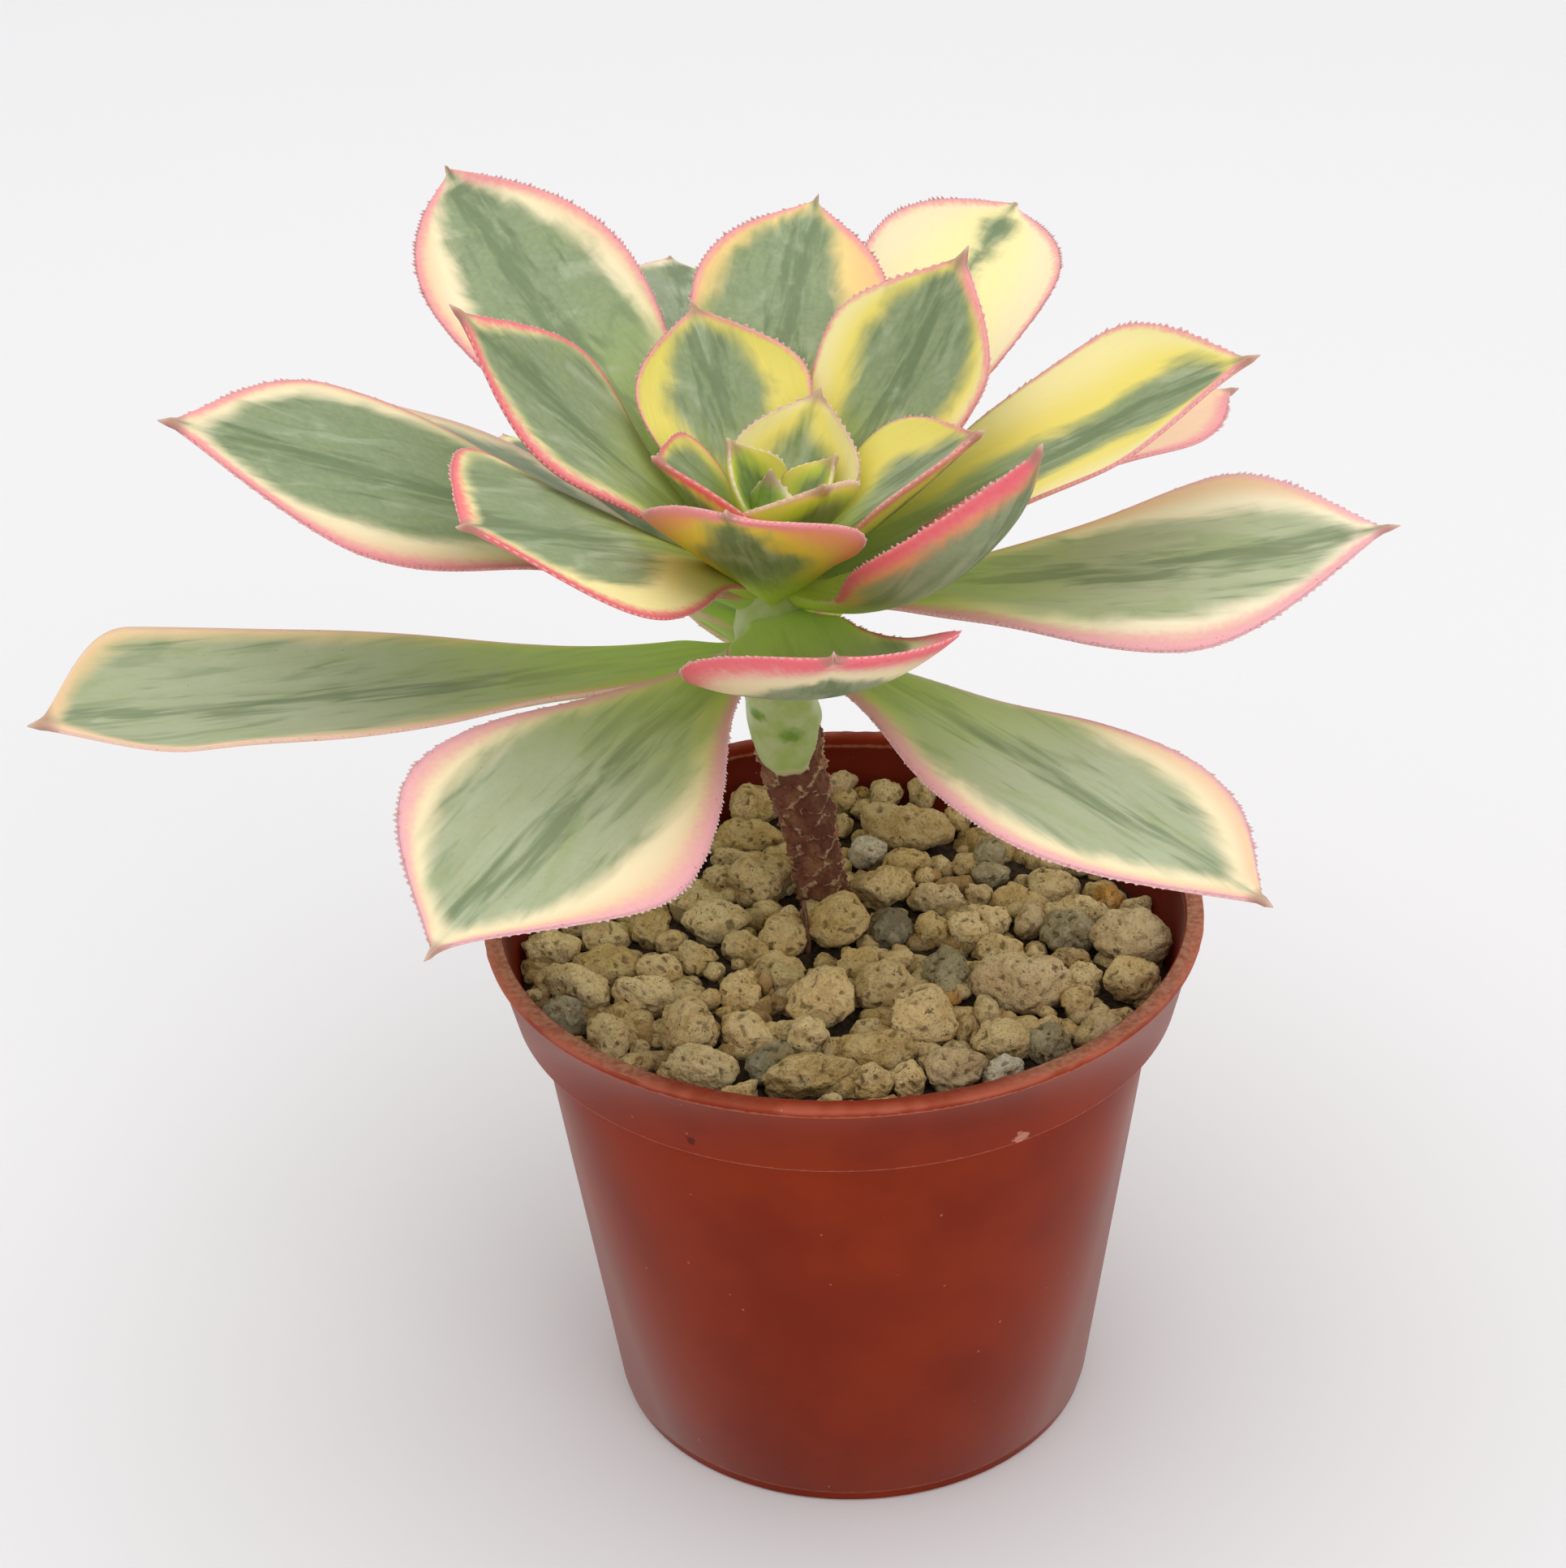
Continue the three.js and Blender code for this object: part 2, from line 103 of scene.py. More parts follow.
# Stones that show, by piece: x, y, level, length, depth, and a tone where one stands out
SLATE = "#767162"
GREY = "#A0977A"
PALE = "#D2CCB8"
OCHRE = "#C99245"
TAN = "#B08D5C"
STONES = {
    "gravel_left": [
        (-35.5, 2.5, 60.5, 7, 5), (-38, 0, 59, 2, 2.5, TAN), (-34.5, -4.5, 60.5, 6, 4),
        (-29, 4.5, 60.5, 6, 4), (-28, -1.5, 60.5, 7.5, 5.5), (-23.5, 6.5, 60.5, 5, 5.5),
        (-21, 3.5, 60.5, 3, 3), (-22, -3, 60.8, 5.5, 4.5), (-17.5, -1, 60.5, 4.5, 4.5),
        (-15.5, 7, 60.8, 7.5, 5), (-17.5, 10.5, 60.5, 7, 5), (-12, 1.5, 60.5, 5.5, 4),
        (-7.5, 4, 60.5, 5.5, 6), (-6.5, 8.5, 60.5, 2.5, 2.5), (-0.4, 5.2, 61.8, 7.2, 6.6),
        (-31.5, -7.5, 60.8, 8, 4.5), (-37, -7, 59.5, 2.5, 2), (-33, -13, 60.5, 6.5, 5.5, SLATE),
        (-27.5, -17, 60.5, 5.5, 6), (-23.5, -9, 61, 7.5, 4.5), (-18, -16, 61, 7, 7.5),
        (-24, -17, 59, 2.5, 2.5), (-12, -7.5, 60.5, 5, 5.5), (-15.5, -4, 60.5, 2.5, 2.5),
        (-9.5, -5.5, 60.5, 2, 4.5, TAN), (-7, -5.5, 60.5, 4, 4.5), (-3, -11.5, 61.3, 7.5, 8),
        (-8.5, -9.5, 59, 5, 2.5, TAN), (-11.5, -17.5, 60.8, 7, 5), (-7, -16, 60, 4, 2.5),
        (-4.5, -18.5, 60.5, 4.5, 5), (-8.5, -24, 60.5, 5.5, 5, "#87846C"),
        (-16.5, -23.5, 60.5, 8.5, 5), (-22, -20.5, 58.5, 6.5, 2, TAN), (-12, -28, 60.2, 4.5, 2),
        (-4.5, -26, 60.5, 10, 5), (-2, -29.5, 60, 3.5, 1.5), (-10.5, 9.5, 59.5, 2.5, 2.5),
        (-13.5, -10.5, 59, 3, 1.5), (-16, -8, 59, 2, 2.5), (-2.5, 0, 59, 2.5, 2.5),
    ],
    "gravel_right": [
        (5, 14.5, 60.5, 7.5, 5), (5.5, 6, 60.5, 6, 6, SLATE), (10.5, 4.5, 60.5, 4, 4.5),
        (15, 4, 60.5, 5, 5), (17.5, 6.5, 60.5, 5.5, 4), (22.5, 6, 60.5, 3.5, 5.5),
        (12, 12, 60.5, 6.5, 4), (14, 16, 60, 5, 3, TAN), (17, 13, 60.5, 3.5, 3),
        (20.5, 12, 60.5, 5, 3.5), (18.5, 17.5, 60.5, 4.5, 4, GREY), (26, 14, 60.5, 7, 5),
        (28.5, 8, 60.5, 7.5, 3.5), (27, 3, 61, 6.5, 6, GREY), (34.5, 0.5, 61, 9, 7.5),
        (35.5, 9.5, 60, 6, 2), (32.5, 10, 60.5, 3.5, 4, OCHRE), (31, 13.5, 60.5, 3.5, 2.5),
        (6.5, -1.5, 60, 4.5, 3), (1.5, -3, 60.8, 5, 4.5), (4.5, -8.5, 60.8, 6.5, 6),
        (12, -5.5, 60.5, 5, 6.5, GREY), (18.5, 1, 59.5, 6, 4.5), (20.5, -9, 61.3, 10.5, 7),
        (23, 0, 59.5, 2.5, 2), (28, -7.5, 60.5, 4.5, 5), (27.5, -1.5, 59.5, 5.5, 2.5, TAN),
        (33.5, -8, 60.5, 7, 5.5), (27, -12, 60.5, 3.5, 4), (29, -17.5, 60.5, 4, 5),
        (32, -14, 60, 4, 2.5), (9, -16, 61.2, 9.5, 7), (12, -9, 59.5, 3.5, 2.5, OCHRE),
        (16.5, -13, 60, 3, 4.5), (14, -16, 59.5, 3, 4, TAN), (2.5, -16, 60.5, 4, 2.5),
        (3.5, -21, 60.5, 8.5, 4.5), (18, -19.5, 60.5, 7, 4.5), (23, -21, 60.5, 5, 4.5, GREY),
        (23.5, -15, 60, 3.5, 2), (12, -25, 60.5, 7, 5.5), (17.5, -25.5, 60.5, 5, 3.5, PALE),
        (3, -27.5, 60.5, 5, 4), (7, -27.5, 60.5, 4.5, 4), (9, -23, 60, 2, 1.5),
    ],
    "gravel_back": [
        (-11.5, 34.5, 62, 5, 7), (-10, 34, 60.5, 4.5, 3.5), (-11.5, 28, 60.5, 8, 4.5),
        (-13.5, 23, 60, 6, 2.5), (-15.5, 18.5, 60, 4.5, 3.5), (-10, 16, 61, 7.5, 7),
        (0, 37.5, 62.5, 4, 3), (0.5, 36, 60.7, 3.5, 4), (3, 37.5, 61, 3, 2.5, TAN),
        (6, 36, 61.5, 4, 5), (10.5, 35, 62.3, 3.5, 5), (8, 27, 61.5, 11.5, 6.5),
        (8, 20.5, 60, 5.5, 3.5), (3, 34.5, 60, 3.5, 2.5), (0.5, 31, 60.5, 2.5, 4),
        (3.5, 22.5, 60.5, 5, 3.5, PALE), (15, 30.5, 60.5, 3.5, 4.5), (15.5, 20, 60, 3, 2.5),
        (18.5, 22.5, 60.5, 4.5, 5, GREY),
    ],
}
STONE_GROW = 0.505
STONE_HEIGHT = 0.46  # how tall a stone is, as a share of its length and depth together
FILL_LEVEL = 56.9
FILL_COUNT = 78
FILL_SPREAD = 4.2

# ---------------- colours of the leaves
# Painted light: a lighter copy of the pale sage, for leaf 17, which turns away from the light
PAINTED_LIGHT_SAGE = "#B6BE99"
PALE_SAGE = "#A8B08B"
SAGE = "#86966C"
GREY_SAGE = "#909C7C"
MOSS = "#82945A"
DEEP_GREEN = "#73923F"
# Root greens: the lime green of the leaf bases, brightened as painted glow in the rosette's shaded
# heart
OLD_ROOT_GREEN_AND_GLOW = "#C0DA6E"  # the base of an old leaf
YOUNG_ROOT_GREEN_AND_GLOW = "#CEE05A"  # and of one of the inner leaves
LIME = "#CBD650"
# Painted light: a lighter copy of the cream, for leaf 17, which turns away from the light
PAINTED_LIGHT_CREAM = "#FBEED0"
CREAM = "#F4E4BC"
BUTTER = "#F4E6A4"
BEIGE = "#D8C496"
HONEY = "#F0D286"
LEMON = "#ECDC70"
GOLD = "#E8CC45"
APRICOT = "#F2C389"
PEACH = "#EFC9A4"
SALMON = "#EE9C70"
PINK = "#EE909A"
MAUVE_PINK = "#EFA9B4"
ROSE = "#EC6274"
BLUSH = "#EFBFB0"

# For each leaf: the colour of its green middle, of its pale bands next to the green and out
# by the margin, and of its flushed edge; then the width in mm of the pale band, and of the
# flush, at four places from base to tip, each first for the counter-clockwise margin and
# then for the clockwise one
BAND_PLACES = (0.1, 0.4, 0.7, 0.95)


def both(*widths):
    """The same widths for both margins."""
    return widths, widths


FINISH = {
    -3: ((DEEP_GREEN, LIME, CREAM, CREAM), both(0.4, 0.5, 0.4, 0.3), both(0.1, 0.1, 0.1, 0.1)),
    -2: ((DEEP_GREEN, LIME, CREAM, CREAM), both(1, 1.6, 1.2, 0.5), both(0.1, 0.1, 0.1, 0.1)),
    -1: ((MOSS, LIME, LEMON, CREAM), ((2, 3.4, 2.8, 1.4), (2, 3, 2.5, 1)),
        both(0.1, 0.1, 0.1, 0.2)),
    0: ((DEEP_GREEN, LIME, LEMON, CREAM), both(2, 4, 3.4, 1.4), both(0.1, 0.1, 0.2, 0.3)),
    1: ((MOSS, LIME, LEMON, BLUSH), ((2, 3, 2.6, 1.6), (3, 5, 4.6, 2.2)), both(0.1, 0.2, 0.3, 0.5)),
    2: ((MOSS, LEMON, BUTTER, BLUSH), ((2, 4, 4.4, 2.4), (2, 5, 5, 2.4)),
        ((0.1, 0.2, 0.4, 0.5), (0.1, 0.3, 0.5, 0.6))),
    3: ((SAGE, LEMON, APRICOT, ROSE), ((3, 3.6, 2.6, 1), (1.5, 2.2, 1.6, 0.8)),
        ((0.4, 1, 1.4, 1.2), (0.1, 0.2, 0.4, 0.9))),
    4: ((GREY_SAGE, LEMON, LEMON, PINK), ((3, 6.6, 6.2, 1.4), (2, 3.6, 3.2, 0.8)),
        ((0, 0.1, 0.3, 0.8), (0, 0.3, 0.9, 1.5))),
    5: ((SAGE, LEMON, LEMON, PINK), ((3.5, 5.8, 4.8, 1.1), (3, 5.8, 5.2, 1.1)),
        ((0, 0.3, 0.6, 0.8), (0, 0.3, 0.6, 0.9))),
    6: ((MOSS, GOLD, SALMON, PINK), both(2, 6, 6.8, 1.5), both(0.1, 0.4, 0.8, 1.1)),
    7: ((SAGE, LEMON, BUTTER, PINK), ((2.5, 5.4, 4.8, 1.2), (2.5, 4.2, 3.6, 1)),
        ((0, 0.3, 0.5, 0.8), (0.1, 0.5, 0.8, 1.5))),
    8: ((SAGE, BUTTER, CREAM, ROSE), ((1.6, 3.2, 3.2, 1.2), (0.1, 0.2, 0.9, 2.2)),
        ((0.5, 1.5, 1.7, 1.3), (0.1, 0.3, 0.7, 1.5))),
    9: ((GREY_SAGE, SALMON, PINK, ROSE), both(0, 1.4, 2.3, 2), both(-1.6, 0.8, 1.1, 1.2)),
    10: ((SAGE, HONEY, APRICOT, PINK), ((0.2, 1.4, 2.8, 1.2), (1.5, 5.4, 6, 1.4)),
        ((0, 0.4, 0.7, 0.9), (0, 0.5, 0.7, 1))),
    11: ((SAGE, BUTTER, BUTTER, ROSE), ((4, 8, 5.5, 1.4), (0.1, 0.4, 1.4, 3.4)),
        ((0.1, 0.7, 1, 1.2), (0, 0.2, 0.5, 1.8))),
    12: ((SAGE, LEMON, BUTTER, PINK), ((0.6, 6.2, 12.8, 2.6), (0.6, 5.4, 11.4, 2.4)),
        ((0, 0.2, 0.6, 0.8), (0, 0.4, 0.9, 1.8))),
    13: ((SAGE, CREAM, PEACH, PINK), ((0.2, 3, 5.2, 1.4), (0.2, 1.4, 4, 1.2)),
        ((0.2, 0.7, 1, 1), (0.1, 0.5, 0.9, 1.3))),
    14: ((GREY_SAGE, CREAM, BLUSH, ROSE), both(0.1, 0.8, 8, 7.5), both(0.1, 0.6, 2.2, 2.6)),
    15: ((SAGE, BUTTER, CREAM, PINK), ((1.2, 7.4, 12.2, 2.8), (1.2, 7, 11.4, 2.6)),
        ((0.1, 0.5, 0.8, 0.9), (0.1, 0.5, 0.9, 0.9))),
    16: ((SAGE, CREAM, PEACH, PINK), ((0.2, 3.8, 5.6, 2), (0.1, 0.5, 2.4, 3)),
        ((0.3, 1, 1.3, 1), (0, 0.2, 0.5, 1.1))),
    # Leaf 17 turns away from the light: its green and its pale band get lighter copies, as painted
    # light
    17: ((PAINTED_LIGHT_SAGE, PAINTED_LIGHT_CREAM, PEACH, MAUVE_PINK), ((0.2, 2.4, 6.6, 2.8), (0.3, 3, 5.4, 2.4)),
        ((0.1, 0.3, 0.6, 1.1), (0.5, 1.5, 2.2, 1.5))),
    18: ((GREY_SAGE, CREAM, CREAM, BLUSH), both(0.2, 0.7, 1, 1.2), both(0.2, 0.4, 0.5, 0.5)),
    19: ((PALE_SAGE, CREAM, PEACH, MAUVE_PINK), ((0.6, 3.4, 7.4, 2.2), (0.4, 2, 4.4, 2)),
        ((0.7, 1.5, 2, 0.5), (0.4, 1.1, 1.7, 0.5))),
    20: ((GREY_SAGE, PEACH, PEACH, PINK), both(6, 12, 14, 8), both(0.5, 1.2, 1.6, 1.6)),
    21: ((GREY_SAGE, CREAM, PEACH, BLUSH), ((0.2, 1, 2.4, 2.4), (0.2, 0.8, 2.2, 2.4)),
        both(0.2, 0.6, 0.9, 0.9)),
    22: ((PALE_SAGE, CREAM, PEACH, MAUVE_PINK), ((0.3, 0.7, 5.2, 3.4), (0.5, 2.4, 3.4, 2.4)),
        ((0.4, 0.6, 0.8, 0.2), (0.6, 1.6, 1.2, 0.3))),
    23: ((GREY_SAGE, CREAM, PEACH, BLUSH), both(0.2, 1, 2.4, 2.4), both(0.2, 0.6, 0.8, 0.8)),
    24: ((PALE_SAGE, BEIGE, PEACH, BLUSH), ((0.4, 1.8, 3.2, 3), (0, 0.7, 1.8, 3)),
        ((0.4, 0.6, 0.5, 0.2), (0.1, 0.3, 0.4, 0.2))),
    26: ((GREY_SAGE, BUTTER, PEACH, BLUSH), ((0.3, 1.2, 2.4, 2.6), (0.2, 1, 2.2, 2.6)),
        both(0.2, 0.5, 0.6, 0.5)),
}

# ---------------- small helpers


def mix(low, high, share):
    return low + (high - low) * share


def smooth(low, high, value):
    share = min(max((value - low) / (high - low), 0.0), 1.0)
    return share * share * (3 - 2 * share)


def linear(hex_colour):
    """An sRGB hex colour as linear red, green, blue and alpha."""
    channels = [int(hex_colour[i : i + 2], 16) / 255 for i in (1, 3, 5)]
    return (*[c / 12.92 if c <= 0.04045 else ((c + 0.055) / 1.055) ** 2.4 for c in channels], 1.0)


def plug(tree, node, inputs):
    """Sets a node's inputs, or links them where the value is another node's output."""
    for name, value in inputs.items():
        socket = node.inputs[name]
        if isinstance(value, bpy.types.NodeSocket):
            tree.links.new(value, socket)
        else:
            socket.default_value = value


def add(tree, kind, inputs, out=0, **settings):
    """Adds a shader node with its settings, its values and its links, and gives one output."""
    made = tree.nodes.new("ShaderNode" + kind)
    for name, value in settings.items():
        setattr(made, name, value)
    plug(tree, made, inputs)
    return made.outputs[out]


MIX_A, MIX_B, MIX_OUT = 6, 7, 2  # a Mix node's colour sockets, by place


def stain(tree, colour, *layers):
    """Lays colours over a colour: each where its pattern goes from low to high, up to a share."""
    for pattern, low, high, top, tone in layers:
        limits = {"Value": pattern, "From Min": low, "From Max": high, "To Max": top}
        share = add(tree, "MapRange", limits, interpolation_type="SMOOTHSTEP")
        over = linear(tone) if isinstance(tone, str) else tone
        colour = add(tree, "Mix", {0: share, MIX_A: colour, MIX_B: over}, MIX_OUT, data_type="RGBA")
    return colour


def make_material(name, look):
    """A material with the surface values of a look, which is a dictionary, or a function
    that gives one for the shader tree and the place on the piece."""
    material = bpy.data.materials.new(name)
    material.use_nodes = True
    tree = material.node_tree
    tree.nodes.clear()
    shader = tree.nodes.new("ShaderNodeBsdfPrincipled")
    output = tree.nodes.new("ShaderNodeOutputMaterial")
    tree.links.new(shader.outputs["BSDF"], output.inputs["Surface"])
    if callable(look):
        look = look(tree, add(tree, "TexCoord", {}, "Object"))
    plug(tree, shader, look)
    return material


def stem_at(height):
    """The stem's centre and radius in mm at a height in mm."""
    i = 1
    while i < len(STEM_LINE) - 1 and STEM_LINE[i][2] < height:
        i += 1
    low, high = STEM_LINE[i - 1], STEM_LINE[i]
    share = (height - low[2]) / (high[2] - low[2])
    radius = mix(STEM_RADII[i - 1], STEM_RADII[i], share)
    return mix(low[0], high[0], share), mix(low[1], high[1], share), radius


def draw_out(bm, faces):
    """Extrudes faces together and gives their new points."""
    made = bmesh.ops.extrude_face_region(bm, geom=faces)["geom"]
    return [item for item in made if isinstance(item, bmesh.types.BMVert)]


def place_mesh(bm, name, material):
    """Turns a finished bmesh into a smooth object in the scene."""
    mesh = bpy.data.meshes.new(name)
    bm.to_mesh(mesh)
    bm.free()
    mesh.shade_smooth()
    mesh.materials.append(material)
    placed = bpy.data.objects.new(name, mesh)
    bpy.context.scene.collection.objects.link(placed)
    return placed


def put_piece(bm, name, material, nodes):
    """Makes a piece that rides on the part and stands for its CAD nodes."""
    piece = place_mesh(bm, name, material)
    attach(piece, "root")
    if nodes:
        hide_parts(*nodes)


# ---------------- leaves
TOOTH_STEP = 0.72  # one fringe tooth to a row of faces
TOOTH_LENGTH = 0.62
ACROSS = 24  # faces from margin to margin
MARGIN_THICKNESS = 0.45
TIP_POINT = 1.3  # the soft point past the end of a leaf
NECK_LENGTH = 9.0  # over this length a leaf's base is drawn in to join the stem
LEAST_RIM = 3.0  # the pale bands near a tip are measured as on a leaf at least this wide
LAST_YOUNG = 8  # the last leaf, from the heart out, that still has a young leaf's skin
LAST_BRIGHT_ROOT = 11  # and the last whose base is a young leaf's bright green
WORN_LEAF = 24  # this old leaf is worn smooth, with short teeth
# How long the teeth are, as shares of TOOTH_LENGTH, and how far along a leaf they stand
OLD_FRINGE, YOUNG_FRINGE, HEART_FRINGE, WORN_FRINGE = 1.0, 0.8, 0.55, 0.35
FRINGE_FROM, FRINGE_TO = 0.06, 0.985
# What the points of a leaf carry for its material
LEAF_LAYERS = ("across", "along", "inside", "outside", "flush", "tooth", "point", "root")
LEAF_COLOURS = ("green", "inner", "outer", "edge")


def outline(t, waist, broadest):
    """Half width of a leaf as a share of its broadest, from base (0) to tip (1)."""
    if t < broadest:
        return waist + (1 - waist) * smooth(0.12, 1, t / broadest)
    return math.cos(math.pi / 2 * (t - broadest) / (1 - broadest)) ** 1.15


def midrib(measures, rows):
    """Points, side, up and forward directions along an arched and turning midrib, in mm."""
    n, lift, turn, length, _, rise0, rise1, bend, roll0, roll1 = measures[:10]
    azimuth = FIRST_AZIMUTH + n * GOLDEN_ANGLE + turn
    height = FIRST_HEIGHT - n * NODE_DROP + lift
    x, y, _ = stem_at(height)
    start = math.radians(azimuth)
    spot = Vector((x + LEAF_ROOT * math.cos(start), y + LEAF_ROOT * math.sin(start), height))

    def heading(share):
        rise = math.radians(mix(rise0, rise1, share))
        way = math.radians(azimuth + bend * share)
        flat = math.cos(rise)
        return Vector((flat * math.cos(way), flat * math.sin(way), math.sin(rise)))

    rib = []
    for row in range(rows + 1):
        t = row / rows
        if row:
            spot = spot + heading(t - 0.5 / rows) * (length / rows)
        along = heading(t)
        way = math.radians(azimuth + bend * t)
        side = Vector((-math.sin(way), math.cos(way), 0))
        up = along.cross(side)
        roll = math.radians(mix(roll0, roll1, t))
        rolled_side = side * math.cos(roll) + up * math.sin(roll)
        rolled_up = up * math.cos(roll) - side * math.sin(roll)
        rib.append((spot.copy(), rolled_side, rolled_up, along))
    return rib


def width_at(widths, t):
    """The width in mm of a band at t, smooth between its four given places."""
    if t <= BAND_PLACES[0]:
        return widths[0] * smooth(0, BAND_PLACES[0], t)
    for i in range(3):
        if t <= BAND_PLACES[i + 1]:
            return mix(widths[i], widths[i + 1], smooth(BAND_PLACES[i], BAND_PLACES[i + 1], t))
    return widths[3]


def leaf_body(measures, fringe):
    """One leaf as a bmesh: a fleshy blade, a fringe of fine teeth and a soft tip."""
    n, length, width, cup, waist, broadest = (measures[i] for i in (0, 3, 4, 10, 11, 12))
    colours, bands, edges = FINISH[n]
    rows = max(12, round(length / TOOTH_STEP))
    rib = midrib(measures, rows)
    arc = math.radians(cup)
    size = min(length / 60, 1)
    bm = bmesh.new()
    layers = bm.verts.layers
    u_at, t_at, face_at = map(layers.float.new, ("u", "t", "face"))
    across, along, inside, outside, flush, _, point, root = map(layers.float.new, LEAF_LAYERS)
    green_at, inner_at, outer_at, edge_at = map(layers.float_color.new, LEAF_COLOURS)
    bmesh.ops.create_grid(bm, x_segments=ACROSS, y_segments=rows, size=1)
    for v in bm.verts:
        v[u_at] = math.sin(math.pi / 2 * v.co.x) * 0.35 + v.co.x * 0.65
        v[t_at] = (v.co.y + 1) / 2
        v[face_at] = 1
    for v in draw_out(bm, bm.faces[:]):
        v[face_at] = -1
    phase = 1.7 * n
    # The base's green is brighter than the leaf's own: painted glow where the rosette shades it
    root_colour = YOUNG_ROOT_GREEN_AND_GLOW if n <= LAST_BRIGHT_ROOT else OLD_ROOT_GREEN_AND_GLOW
    root_green_and_glow, lime = (Vector(linear(c)[:3]) for c in (root_colour, LIME))
    green, inner, outer, edge = (Vector(linear(c)[:3]) for c in colours)
    for v in bm.verts:
        u, t, face = v[u_at], v[t_at], v[face_at]
        middle, side, up, _ = rib[round(t * rows)]
        neck = smooth(0, NECK_LENGTH * size, t * length)
        half = max(outline(t, waist, broadest) * width / 2 * mix(0.5, 1, neck), TIP_HALF_WIDTH)
        half *= 1 + 0.012 * math.sin(9 * t + phase) * smooth(0.2, 0.6, t)
        thick = mix(1.3 + length * 0.017, 0.95, t) + 2.0 * size * math.exp(-t * length / 7)
        depth = mix(thick, MARGIN_THICKNESS, abs(u) ** 2.2) / 2
        keel = 0.35 * math.exp(-((u * 4) ** 2)) * (1 - t) * size
        depth += keel if face < 0 else -0.25 * keel
        # A living leaf isn't true: its margin ripples and its face has a slow swell
        ripple = 0.35 * size * abs(u) ** 3 * math.sin(13 * t + phase + u) * smooth(0.2, 0.5, t)
        swell = 0.3 * size * noise.noise(Vector((u * 1.6, t * length / 13, phase)))
        swell *= smooth(0.1, 0.3, t)
        spot = middle + side * (half * math.sin(arc * u) / arc)
        spot += up * (half * (1 - math.cos(arc * u)) / arc + face * depth + ripple + swell)
        v.co = spot * MM
        v[across] = u * half
        v[along] = t * length
        rim = (1 - abs(u)) * max(half, LEAST_RIM * size)
        which = smooth(-0.15, 0.15, u)
        pale, flushed = (mix(width_at(w[1], t), width_at(w[0], t), which) for w in (bands, edges))
        flushed = max(flushed, 0)
        # How far inside the pale band in mm, then shares: across the band, and of the flush
        v[inside] = rim - pale + 1.5 * smooth(0.8, 0.0, pale)
        v[outside] = min(rim / max(pale, 0.5), 2)
        v[flush] = min((rim + 0.12) / (flushed + 0.03), 4)
        v[point] = smooth(2.6, 0.4, (1 - t) * length)
        # Painted glow: towards the base the green turns to the brightened root green, and the pale
        # bands turn to lime
        near_root = 1 - smooth(0.1, 0.62, t)
        v[root] = near_root
        v[green_at] = (*green.lerp(root_green_and_glow, near_root), 1)
        v[inner_at] = (*inner.lerp(lime, near_root * 0.9), 1)
        v[outer_at] = (*outer.lerp(lime, near_root * 0.75), 1)
        v[edge_at] = (*edge, 1)
    bmesh.ops.recalc_face_normals(bm, faces=bm.faces)
    grow_fringe(bm, rib, arc, fringe, random.Random(100 + n))
    grow_tip(bm, rib, TIP_POINT * min(length / 40, 1))
    bmesh.ops.recalc_face_normals(bm, faces=bm.faces)
    return bm


def grow_fringe(bm, rib, arc, fringe, draw):
    """Draws each narrow face of the two margins out into a tooth."""
    u_at, t_at, tooth = (bm.verts.layers.float[name] for name in ("u", "t", "tooth"))
    rows = len(rib) - 1

    def on_margin(f):
        ts = [v[t_at] for v in f.verts]
        outermost = min(abs(v[u_at]) for v in f.verts) > 0.999
        return outermost and FRINGE_FROM < min(ts) and max(ts) < FRINGE_TO

    def place_of(f):
        return f.verts[0][u_at] > 0, sum(v[t_at] for v in f.verts)

    margins = [f for f in bm.faces if on_margin(f)]
    bmesh.ops.inset_individual(bm, faces=margins, thickness=0.07 * MM, use_even_offset=True)
    drawn = bmesh.ops.extrude_discrete_faces(bm, faces=margins)["faces"]
    # Blender gives these in no fixed order, and every run has to give a tooth the same draws
    for f in sorted(drawn, key=place_of):
        centre = f.calc_center_median()
        t = sum(v[t_at] for v in f.verts) / 4
        _, side, up, forward = rib[min(round(t * rows), rows)]
        sign = 1 if f.verts[0][u_at] > 0 else -1
        outward = (side * math.cos(arc) * sign + up * math.sin(arc)).normalized()
        lean = (outward * 0.8 + forward * draw.uniform(0.35, 0.8)).normalized()
        reach = TOOTH_LENGTH * fringe * draw.uniform(0.45, 1.15) * (1 - 0.6 * smooth(0.85, 1, t))
        for v in f.verts:
            v.co = centre + (v.co - centre) * 0.1 + lean * reach * MM
            v[tooth] = 1


def grow_tip(bm, rib, reach):
    """Draws the end of a leaf out into its soft point, this many mm long."""
    t_at, along, tooth = (bm.verts.layers.float[name] for name in ("t", "along", "tooth"))
    end = [f for f in bm.faces if all(v[t_at] > 0.9999 for v in f.verts)]
    grown = draw_out(bm, end)
    bmesh.ops.delete(bm, geom=[f for f in end if f.is_valid], context="FACES_KEEP_BOUNDARY")
    spot, _, _, forward = rib[-1]
    centre = spot * MM
    for v in grown:
        v.co = centre + (v.co - centre) * 0.15 + forward * reach * MM
        v[along] += reach
        v[tooth] = 0.7


